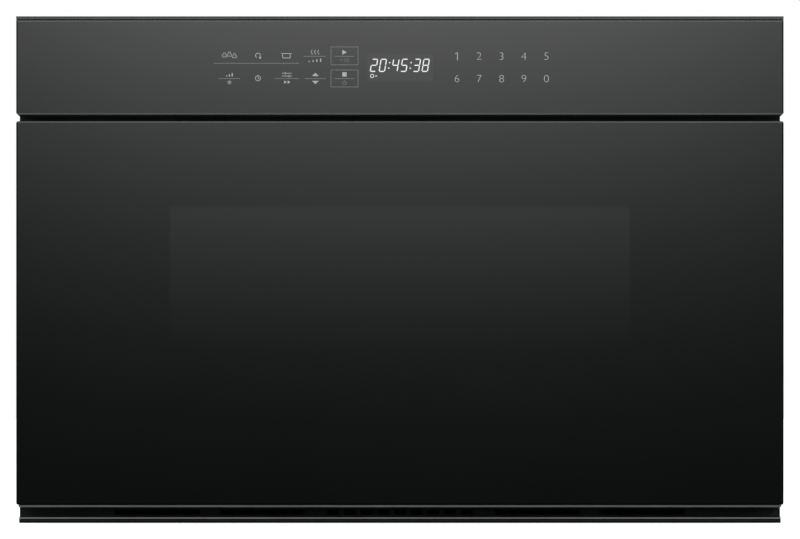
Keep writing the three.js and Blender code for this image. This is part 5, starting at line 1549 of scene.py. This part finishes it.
@dataclass
class MicrowaveSource(SubAssembly):
    """Everything over and behind the cavity that makes and spreads the microwaves, and cools it."""

    blade_half: float = 0.4  # half the thickness of a blade
    switch_x: float = 206.5
    switch_z: float = 297.3
    transformer_blades: tuple[float, ...] = (-193.0, -180.0, -167.0)
    motor_blades: Span = (-76.0, -64.0)
    capacitor: Point = (-40.0, 236.0, 93.6)
    transformer: Span = (-180.0, 236.0)
    lamp: Span = (-148.0, -175.5)
    stirrer_y: float = -46.7
    board_top: float = 271.2
    choke: Span = (-191.0, -31.7)
    choke_turns: int = 30
    board_blocks: tuple[tuple[Point, Point, float], ...] = (  # corners over the board, and how far they are eased
        ((-155.3, -44.0, 0.0), (-130.7, -19.4, 23.2), 0.8), ((-197.3, -77.0, 0.0), (-187.0, -64.4, 12.0), 0.6),
        ((-147.0, -77.0, 0.0), (-136.7, -64.4, 12.0), 0.6))
    board_cans: tuple[Span, ...] = ((-120.0, -74.0), (-120.0, -58.0), (-215.0, -58.0))
    weld_x: float = 41.5
    weld_z: float = 328.6
    weld_start: float = -92.0
    weld_pitch: float = 26.0

    def build(self) -> None:
        """Builds the source."""
        refined(ZINC, 0.2, "stirrer_box", "waveguide")
        refined(STEEL, 0.15, "stirrer", body=Body.STIRRER)
        refined(STEEL, 0.3, "stirrer_motor")
        refined(STEEL, 0.2, "magnetron")
        refined(CORE_STEEL, 0.4, "transformer_core")
        refined(COPPER, 1.2, "transformer_coils")
        refined(STEEL, 0.8, "capacitor")
        refined(BLACK_PLASTIC, 0.4, "fan_shroud", smooth=20.0)
        refined(STEEL, 0.4, "fan_motor")
        refined(BLACK_PLASTIC, 0.15, "fan_wheel", body=Body.FAN)
        refined(BOARD_GREEN, 0.0, "filter_board")
        refined(BLACK_PLASTIC, 0.3, "interlock_switch_left", "interlock_switch_right")
        self.blades()
        self.insulators()
        self.board_parts()
        self.sheet_fastenings()
        self.weld_spots()

    def blades(self) -> None:
        """Adds the blade terminals of the electric parts."""
        bm, thin = bmesh.new(), self.blade_half
        flat = [((41.0, 49.0), (231.8, 238.2), z) for z in (302.0, 315.0)]
        flat += [(about(x, 3.2), (188.6, 195.0), 52.0) for x in self.transformer_blades]
        flat += [(about(side * self.switch_x, 2.4), (-206.0, -199.0), z) for side in SIDES
                 for z in about(self.switch_z, 3.0)]
        flat += [(about(x, 2.4), (-137.4, -130.0), 23.2) for x in self.motor_blades]
        for (left, right), (front, back), z in flat:
            eased(bm, (left, front, z - thin), (right, back, z + thin), 0.2)
        for x in about(self.lamp[0], 7.0):
            eased(bm, (x - thin, self.lamp[1] - 3.2, 300.0), (x + thin, self.lamp[1] + 3.2, 307.0), 0.2)
        finish_piece("blade_terminals", bm, BLADE_TIN)

    def insulators(self) -> None:
        """Adds the insulators that carry the blades."""
        bm = bmesh.new()
        eased(bm, (37.9, 224.0, 296.0), (41.5, 246.0, 321.0), 0.8)
        for x in self.transformer_blades:
            eased(bm, (x - 4.5, 194.6, 47.0), (x + 4.5, 199.3, 57.0), 0.8)
        x, y, z = self.capacitor
        for post in about(x, 10.0):
            turned(bm, ((0.0, 2.6), (5.6, 2.6), (6.8, 1.6), (6.8, -0.4), (0.0, -0.4)), Axis.Z, (post, y, z), 24)
        turned(bm, ((0.0, 3.2), (13.0, 3.2), (14.5, 2.0), (14.5, -0.5), (0.0, -0.5)), Axis.Z,
               (*self.lamp, 297.3), 28)
        finish_piece("terminal_insulators", bm, INSULATOR)

    def board_parts(self) -> None:
        """Adds the wound choke, relay, fuse and capacitors of the mains filter board."""
        wound, black, tinned = bmesh.new(), bmesh.new(), bmesh.new()
        top = self.board_top
        for i in range(self.choke_turns):
            turn = math.tau * i / self.choke_turns
            swept_tube(wound, [(self.choke[0] + r * math.cos(turn), self.choke[1] + r * math.sin(turn), top + h)
                               for r, h in ((15.9, 0.2), (15.9, 20.6), (15.0, 21.8), (6.0, 21.8))], 0.75, 6)
        for low, high, width in self.board_blocks:
            eased(black, (*low[:2], top + low[2]), (*high[:2], top + high[2]), width)
        turned(tinned, ((0.0, -20.5), (6.6, -20.5), (6.6, 20.5), (0.0, 20.5)), Axis.X, (-167.0, -70.7, 277.5), 24)
        for x, y in self.board_cans:
            turned(black, ((0.0, 0.0), (5.0, 0.0), (5.0, 14.0), (4.4, 14.8), (0.0, 14.8)), Axis.Z,
                   (x, y, top - 0.4), 24)
            turned(tinned, ((0.0, 0.0), (4.0, 0.0), (4.0, 0.3), (0.0, 0.3)), Axis.Z, (x, y, top + 14.3), 24)
        finish_piece("filter_choke", wound, WINDING)
        finish_piece("filter_components", black, BLACK_PLASTIC)
        finish_piece("filter_metal", tinned, BLADE_TIN)

    def sheet_fastenings(self) -> None:
        """Adds the screws, feet and bands that hold the source together."""
        bm = bmesh.new()
        x, y = self.transformer
        for side in SIDES:
            for z in about(308.6, 31.0):
                screw(bm, (side * 41.0, 160.6, z), Facing.BACK, 3.0, 1.8)
            screw(bm, (side * 29.2, self.stirrer_y, 330.0), Facing.UP, 3.0, 1.8)
            left, right = sorted((x + side * 44.9, x + side * 58.0))
            eased(bm, (left, y - 14.0, 1.4), (right, y + 14.0, 2.9), 0.3)
            screw(bm, (x + side * 52.0, y, 2.9), Facing.UP, 3.6, 2.0)
            for foot in about(self.stirrer_y, 60.0):
                screw(bm, (side * 100.5, foot, 264.3), Facing.UP, 3.0, 1.6)
        x, y = self.capacitor[:2]
        outer, inner = (rounded(about(x, 27.6 - wall), about(y, 17.6 - wall), 17.6 - wall, 8) for wall in (0.0, 0.7))
        for span in ((38.0, 50.0), (90.6, 93.9)):
            ring(bm, outer, inner, Axis.Z, span)
        finish_piece("source_fastenings", bm, SCREW_STEEL)

    def weld_spots(self) -> None:
        """Adds the weld spots along the flanges of the waveguide."""
        bm = bmesh.new()
        for side in SIDES:
            for i in range(10):
                rivet(bm, (side * self.weld_x, self.weld_start + self.weld_pitch * i, self.weld_z), Facing.UP,
                      2.4, 0.35)
        finish_piece("weld_spots", bm, ZINC)


@dataclass
class Drive(SubAssembly):
    """The motor, gears and slides that move the drawer."""

    gearbox_columns: Span = (-84.0, -56.0)
    gearbox_rows: Span = (8.0, 46.0)
    gearbox_face: float = -255.5
    slide_places: tuple[float, ...] = (-230.0, -130.0, -30.0, 70.0, 160.0)
    slide_wall: float = 265.15
    slide_height: float = 85.2

    def build(self) -> None:
        """Builds the drive."""
        refined(STEEL, 0.3, "drive_shaft", body=Body.SHAFT)
        refined(WHITE_PLASTIC, 0.8, "gearbox")
        refined(STEEL, 0.5, "drive_motor")
        for side, middle in zip(SIDE_NAMES, (Body.MIDDLE_LEFT, Body.MIDDLE_RIGHT)):
            refined(WHITE_PLASTIC, 0.1, f"pinion_{side}", body=Body.SHAFT)
            refined(BLACK_PLASTIC, 0.4, f"shaft_bearing_{side}")
            refined(STEEL, 0.2, f"slide_outer_{side}")
            refined(STEEL, 0.2, f"slide_middle_{side}", body=middle)
            refined(STEEL, 0.2, f"slide_inner_{side}", body=Body.DRAWER)
            refined(WHITE_PLASTIC, 0.1, f"rack_{side}", body=Body.DRAWER)
        self.fastenings()

    def fastenings(self) -> None:
        """Puts in the screws of the gearbox and of the slides."""
        bm = bmesh.new()
        for x in self.gearbox_columns:
            for z in self.gearbox_rows:
                screw(bm, (x, self.gearbox_face, z), Facing.FRONT, 3.0, 1.8)
        finish_piece("gearbox_screws", bm, SCREW_STEEL)
        bm = bmesh.new()
        for side in SIDES:
            for y in self.slide_places:
                screw(bm, (side * self.slide_wall, y, self.slide_height), Facing.outward(side), 3.6, 1.5)
        finish_piece("slide_screws", bm, SCREW_STEEL, body=Body.DRAWER)


@dataclass
class DrawerDoor(SubAssembly):
    """The door on the front of the drawer."""

    half: float = 303.0
    bottom: float = 14.3
    top: float = 317.2
    corner: float = 1.5
    ground_edge: float = 1.1
    strip_half: float = 301.5
    strip_taper: float = 0.7
    strip_bottom: float = 12.3
    strip_top: float = 14.0
    strip_reach: Span = (-294.0, -265.0)
    screen_half: float = 186.5
    screen_heights: Span = (131.4, 254.4)
    screen_faces: Span = (-266.9, -266.3)
    screen_pitch: float = 4.1
    screen_margin: float = 6.0
    screen_web: float = 0.75
    screen_cut: float = 0.75  # off the corners of its holes
    back_face: float = -262.3
    rivet_x: float = 238.4
    rivet_rows: tuple[float, ...] = (60.0, 160.0, 265.0)

    def build(self) -> None:
        """Builds the door."""
        points = rounded((-self.half, self.half), (self.bottom, self.top), self.corner)
        glass_plate("door_glass", points, DOOR_GLASS, Body.DRAWER, self.ground_edge, False)
        self.bottom_strip()
        refined(BLACK_PAINT, 0.3, "door_frame", body=Body.DRAWER)
        refined(CAVITY_ENAMEL, 0.4, "door_back_panel", body=Body.DRAWER)
        self.screen()
        refined(CLEAR_GLASS, 0.3, "inner_window", body=Body.DRAWER)
        refined(WHITE_PLASTIC, 0.3, "latch_hook_left", "latch_hook_right", body=Body.DRAWER)
        self.back_fittings()

    def bottom_strip(self) -> None:
        """Builds the metal strip under the glass."""
        half, low = self.strip_half, self.strip_half - self.strip_taper
        bm = bmesh.new()
        outline(bm, ((-half, self.strip_top), (-low, self.strip_bottom), (low, self.strip_bottom),
                     (half, self.strip_top)), Axis.Y, self.strip_reach)
        tidy(bm)
        round_off(bm, bm.edges, 0.2, 2)
        finish_piece("door_bottom_strip", bm, STRIP_TRIM, body=Body.DRAWER, replaces=("door_bottom_trim",))

    def screen(self) -> None:
        """Builds the perforated screen behind the window."""
        low, high = self.screen_heights
        tall, edge = (high - low) / 2, self.screen_margin
        wide, deep = self.screen_half - edge, tall - edge
        bm = bmesh.new()
        bmesh.ops.create_grid(bm, x_segments=round(2 * wide / self.screen_pitch),
                              y_segments=round(2 * deep / self.screen_pitch), size=0.5)
        bmesh.ops.scale(bm, vec=(2 * wide, 2 * deep, 1.0), verts=bm.verts)
        tiles = list(bm.faces)
        bmesh.ops.inset_individual(bm, faces=tiles, thickness=self.screen_web)
        corners = dict.fromkeys(vert for tile in tiles for vert in tile.verts)
        bmesh.ops.bevel(bm, geom=list(corners), offset=self.screen_cut, offset_type="OFFSET", affect="VERTICES",
                        segments=1, profile=0.5, material=-1)
        bmesh.ops.delete(bm, geom=[tile for tile in tiles if tile.is_valid], context="FACES_ONLY")
        rim = [item for item in bm.edges if item.is_boundary and all(
            abs(vert.co.x) > wide - NEAR or abs(vert.co.y) > deep - NEAR for vert in item.verts)]
        for vert in bmesh.ops.extrude_edge_only(bm, edges=rim)["geom"]:
            if isinstance(vert, Vert):
                if abs(vert.co.x) > wide - NEAR:
                    vert.co.x = math.copysign(self.screen_half, vert.co.x)
                if abs(vert.co.y) > deep - NEAR:
                    vert.co.y = math.copysign(tall, vert.co.y)
        bmesh.ops.rotate(bm, cent=(0, 0, 0), matrix=Matrix.Rotation(math.radians(90), 3, "X"), verts=bm.verts)
        bmesh.ops.translate(bm, vec=(0.0, self.screen_faces[0], (low + high) / 2), verts=bm.verts)
        tidy(bm)
        bmesh.ops.solidify(bm, geom=list(bm.faces), thickness=self.screen_faces[0] - self.screen_faces[1])
        finish_piece("window_screen_mesh", bm, BLACK_PAINT, body=Body.DRAWER, replaces=("window_screen",), smooth=30.0)

    def back_fittings(self) -> None:
        """Adds the rivets of the back panel, the cover of the choke and the seal of the inner window."""
        bm = bmesh.new()
        for side in SIDES:
            for z in self.rivet_rows:
                rivet(bm, (side * self.rivet_x, self.back_face, z), Facing.BACK, 3.0, 0.8)
        finish_piece("door_panel_rivets", bm, SCREW_STEEL, body=Body.DRAWER)
        bm = bmesh.new()
        ring(bm, rounded(about(0.0, 245.8), (48.4, 277.8), 3.0), rounded(about(0.0, 231.0), (61.0, 265.2), 2.0),
             Axis.Y, (-263.1, self.back_face))
        finish_piece("choke_cover", bm, BLACK_PLASTIC, body=Body.DRAWER)
        bm = bmesh.new()
        ring(bm, rounded(about(0.0, 184.5), (133.4, 252.4), 4.0), rounded(about(0.0, 179.6), (138.3, 247.5), 2.0),
             Axis.Y, (-263.1, -261.9))
        finish_piece("window_seal", bm, RUBBER, body=Body.DRAWER)


@dataclass
class Tub(SubAssembly):
    """The tub that holds the food, its tray, and the beams that carry it."""

    rim_half: float = 226.0
    rim_front: float = -261.4
    rim_back: float = 177.3
    rim_corner: float = 28.0
    rim_height: float = 254.95
    rib_rows: Span = (112.0, 205.0)
    rib_half: float = 6.0
    rivet_x: float = 222.9
    rivet_rows: tuple[float, ...] = (82.0, 125.0, 168.0, 211.0, 246.0)

    def build(self) -> None:
        """Builds the tub."""
        refined(CAVITY_ENAMEL, 0.35, "tub", body=Body.DRAWER)
        refined(CERAMIC, 1.2, "ceramic_tray", body=Body.DRAWER, steps=3)
        refined(BLACK_PAINT, 0.3, "carrier_beam_left", "carrier_beam_right", body=Body.DRAWER)
        self.rolled_rim()
        self.ribs()
        self.rivets()

    def rolled_rim(self) -> None:
        """Rolls the edge of the tub's rim."""
        half, corner = self.rim_half, self.rim_corner
        middle, back = half - corner, self.rim_back - corner
        places = [(-half, self.rim_front), *arc_points((-middle, back), corner, 180, 90, 8),
                  *arc_points((middle, back), corner, 90, 0, 8), (half, self.rim_front)]
        bm = bmesh.new()
        swept_tube(bm, [(x, y, self.rim_height) for x, y in places], 1.0, 10)
        finish_piece("tub_rolled_rim", bm, CAVITY_ENAMEL, body=Body.DRAWER)

    def ribs(self) -> None:
        """Presses ribs into the tub's walls."""
        bm, half = bmesh.new(), self.rib_half
        for row in self.rib_rows:
            for side in SIDES:
                pressed(bm, (-225.0, 135.0), about(row, half), half, Axis.X, (side * 218.6, side * 220.6), 1.4)
            pressed(bm, (-180.0, 180.0), about(row, half), half, Axis.Y, (169.9, 171.9), 1.4)
        finish_piece("tub_ribs", bm, CAVITY_ENAMEL, body=Body.DRAWER)

    def rivets(self) -> None:
        """Rivets the tub's front flange to the door."""
        bm = bmesh.new()
        for side in SIDES:
            for z in self.rivet_rows:
                rivet(bm, (side * self.rivet_x, -261.7, z), Facing.BACK, 2.2, 0.8)
        finish_piece("tub_rivets", bm, SCREW_STEEL, body=Body.DRAWER)


# ---------------------------------------------------------------- the studio


@dataclass
class Studio:
    """The floor, the light and the camera, in metres. None of it is part of the oven."""

    lens: float = 1000.0  # millimetres
    clip_start: float = 0.05
    camera_distance: float = 17.547  # from the front glass
    camera_aside: float = 0.00008
    camera_height: float = 0.20006
    surround: float = 0.86  # brightness of the white surround as a lamp
    floor_colour: Colour = (0.8, 0.8, 0.8)
    floor_glow: float = 0.6
    floor_half: float = 12.0
    floor_level: float = -0.0004
    card_distance: float = 1.5
    card_half: float = 2.6
    card_middle: float = 0.2
    card_top: float = 2.26  # brightness of what the top of the glass reflects
    card_most: float = 2.4
    card_falls: Span = (6.0, 11.6)  # how fast it falls a metre of the front, and a square metre
    card_sides: float = 0.32  # how much it falls to the sides
    card_least: float = 0.25
    card_blend: Span = (0.7, 0.5)  # where it starts to blend into the surround
    glass_half: float = 0.2923
    glass_top: float = 0.3955
    lamp_aim: Point = (0.0, 0.0, 0.2)
    lamp_gloss: float = 0.35

    def build(self) -> None:
        """Builds the studio."""
        self.world()
        self.floor()
        self.card()
        self.lamps()
        self.camera()

    def world(self) -> None:
        """Makes a white surround with a soft light of its own."""
        world = bpy.data.worlds.new("studio")
        tree = Tree(world)
        rays = tree.node("LightPath").outputs
        mirrored = tree.sum("MAXIMUM", rays["Is Glossy Ray"], rays["Is Transmission Ray"])
        seen = tree.sum("MAXIMUM", rays["Is Camera Ray"], mirrored)
        light, white = (tree.node("Background", {"Color": WHITE, "Strength": strength}).outputs[0]
                        for strength in (self.surround, 1.0))
        mix = tree.node("MixShader", {0: seen, 1: light, 2: white})
        tree.node("OutputWorld", {"Surface": mix.outputs[0]})
        bpy.context.scene.world = world

    def staged(self, name: str, corners: Sequence[Point], material: bpy.types.Material) -> bpy.types.Object:
        """Adds a flat stage piece.

        Args:
            name: name of the piece.
            corners: its corners, in metres.
            material: its material.

        Returns:
            The piece.
        """
        bm = bmesh.new()
        bm.faces.new([bm.verts.new(corner) for corner in corners])
        mesh = bpy.data.meshes.new(name)
        bm.to_mesh(mesh)
        bm.free()
        mesh.materials.append(material)
        made = bpy.data.objects.new(name, mesh)
        bpy.context.scene.collection.objects.link(made)
        return made

    def floor(self) -> None:
        """Lays a white floor that still takes the oven's shadow."""
        material = bpy.data.materials.new("studio floor")
        tree = Tree(material)
        diffuse = tree.node("BsdfDiffuse", {"Color": self.floor_colour})
        seen = tree.sum("MULTIPLY", tree.node("LightPath").outputs["Is Camera Ray"], self.floor_glow)
        glow = tree.node("Emission", {"Strength": seen})
        added = tree.node("AddShader", {0: diffuse.outputs[0], 1: glow.outputs[0]})
        below = tree.node("NewGeometry").outputs["Backfacing"]
        clear = tree.node("BsdfTransparent").outputs[0]
        sided = tree.node("MixShader", {0: below, 1: added.outputs[0], 2: clear})
        tree.node("OutputMaterial", {"Surface": sided.outputs[0]})
        reach, level = self.floor_half, self.floor_level
        laid = self.staged("studio_floor", ((-reach, -reach, level), (reach, -reach, level),
                                            (reach, reach, level), (-reach, reach, level)), material)
        laid.visible_glossy = False  # the gloss sees the white surround and the card instead

    def card(self) -> None:
        """Hangs a graded card in front of the oven, which only its gloss sees."""
        spread = 1 + self.card_distance / self.camera_distance
        material = bpy.data.materials.new("studio card")
        tree = Tree(material)
        step = tree.sum
        place = tree.node("SeparateXYZ", {"Vector": tree.node("TexCoord").outputs["Object"]}).outputs
        height = step("MULTIPLY", step("SUBTRACT", place["Z"], self.camera_height), 1 / spread)
        below = step("SUBTRACT", self.glass_top - self.camera_height, height)
        rate = step("ADD", step("MULTIPLY", step("MAXIMUM", below, 0.0), self.card_falls[1]), self.card_falls[0])
        fall = step("POWER", math.e, step("MULTIPLY", step("MULTIPLY", below, rate), -1.0))
        across = step("POWER", step("MULTIPLY", place["X"], 1 / (self.glass_half * spread)), 2.0)
        sides = step("MAXIMUM", step("SUBTRACT", 1.0, step("MULTIPLY", across, self.card_sides)), self.card_least)
        level = step("MINIMUM", step("MULTIPLY", step("MULTIPLY", fall, self.card_top), sides), self.card_most)
        off = (step("ABSOLUTE", place["X"]), step("ABSOLUTE", step("SUBTRACT", place["Z"], self.card_middle)))
        wide, tall = (step("DIVIDE", step("SUBTRACT", way, blend), self.card_half - blend)
                      for way, blend in zip(off, self.card_blend))
        edge = step("MINIMUM", step("MAXIMUM", step("MAXIMUM", wide, tall), 0.0), 1.0)
        faded = step("ADD", step("MULTIPLY", level, step("SUBTRACT", 1.0, edge)), edge)
        tree.node("OutputMaterial", {"Surface": tree.node("Emission", {"Strength": faded}).outputs[0]})
        depth, half = FRONT * MM - self.card_distance, self.card_half
        low, high = about(self.card_middle, half)
        card = self.staged("studio_card", ((-half, depth, low), (half, depth, low), (half, depth, high),
                                           (-half, depth, high)), material)
        card.visible_camera = False
        card.visible_diffuse = False
        card.visible_shadow = False
        card.visible_transmission = False

    def lamps(self) -> None:
        """Sets a large soft lamp over the front and two gentle ones at the back."""
        for name, place, size, power in (("key", (0.0, -1.9, 2.4), 2.4, 20.0),
                                         ("back_left", (-2.2, 1.9, 1.4), 1.6, 9.0),
                                         ("back_right", (2.2, 1.9, 1.4), 1.6, 9.0)):
            data = bpy.data.lights.new(name, "AREA")
            data.shape = "SQUARE"
            data.size = size
            data.energy = power
            data.specular_factor = self.lamp_gloss
            lamp = bpy.data.objects.new(name, data)
            lamp.location = place
            lamp.rotation_euler = (Vector(self.lamp_aim) - Vector(place)).to_track_quat("-Z", "Y").to_euler()
            bpy.context.scene.collection.objects.link(lamp)

    def camera(self) -> None:
        """Sets the camera square to the front, with a long lens."""
        data = bpy.data.cameras.new("camera")
        data.lens = self.lens
        data.clip_start = self.clip_start
        camera = bpy.data.objects.new("camera", data)
        camera.location = (self.camera_aside, FRONT * MM - self.camera_distance, self.camera_height)
        camera.rotation_euler = (math.radians(90), 0.0, 0.0)
        bpy.context.scene.collection.objects.link(camera)
        bpy.context.scene.camera = camera
        bpy.context.scene.view_settings.view_transform = "Standard"


def main() -> None:
    """Builds the oven and the studio round it."""
    logging.basicConfig(level=logging.INFO, format="%(message)s")
    for part in (ControlPanel(), Chassis(), Cavity(), MicrowaveSource(), Drive(), DrawerDoor(), Tub()):
        LOG.info("building %s", type(part).__name__)
        part.build()
    Studio().build()


if __name__ == "__main__":
    main()
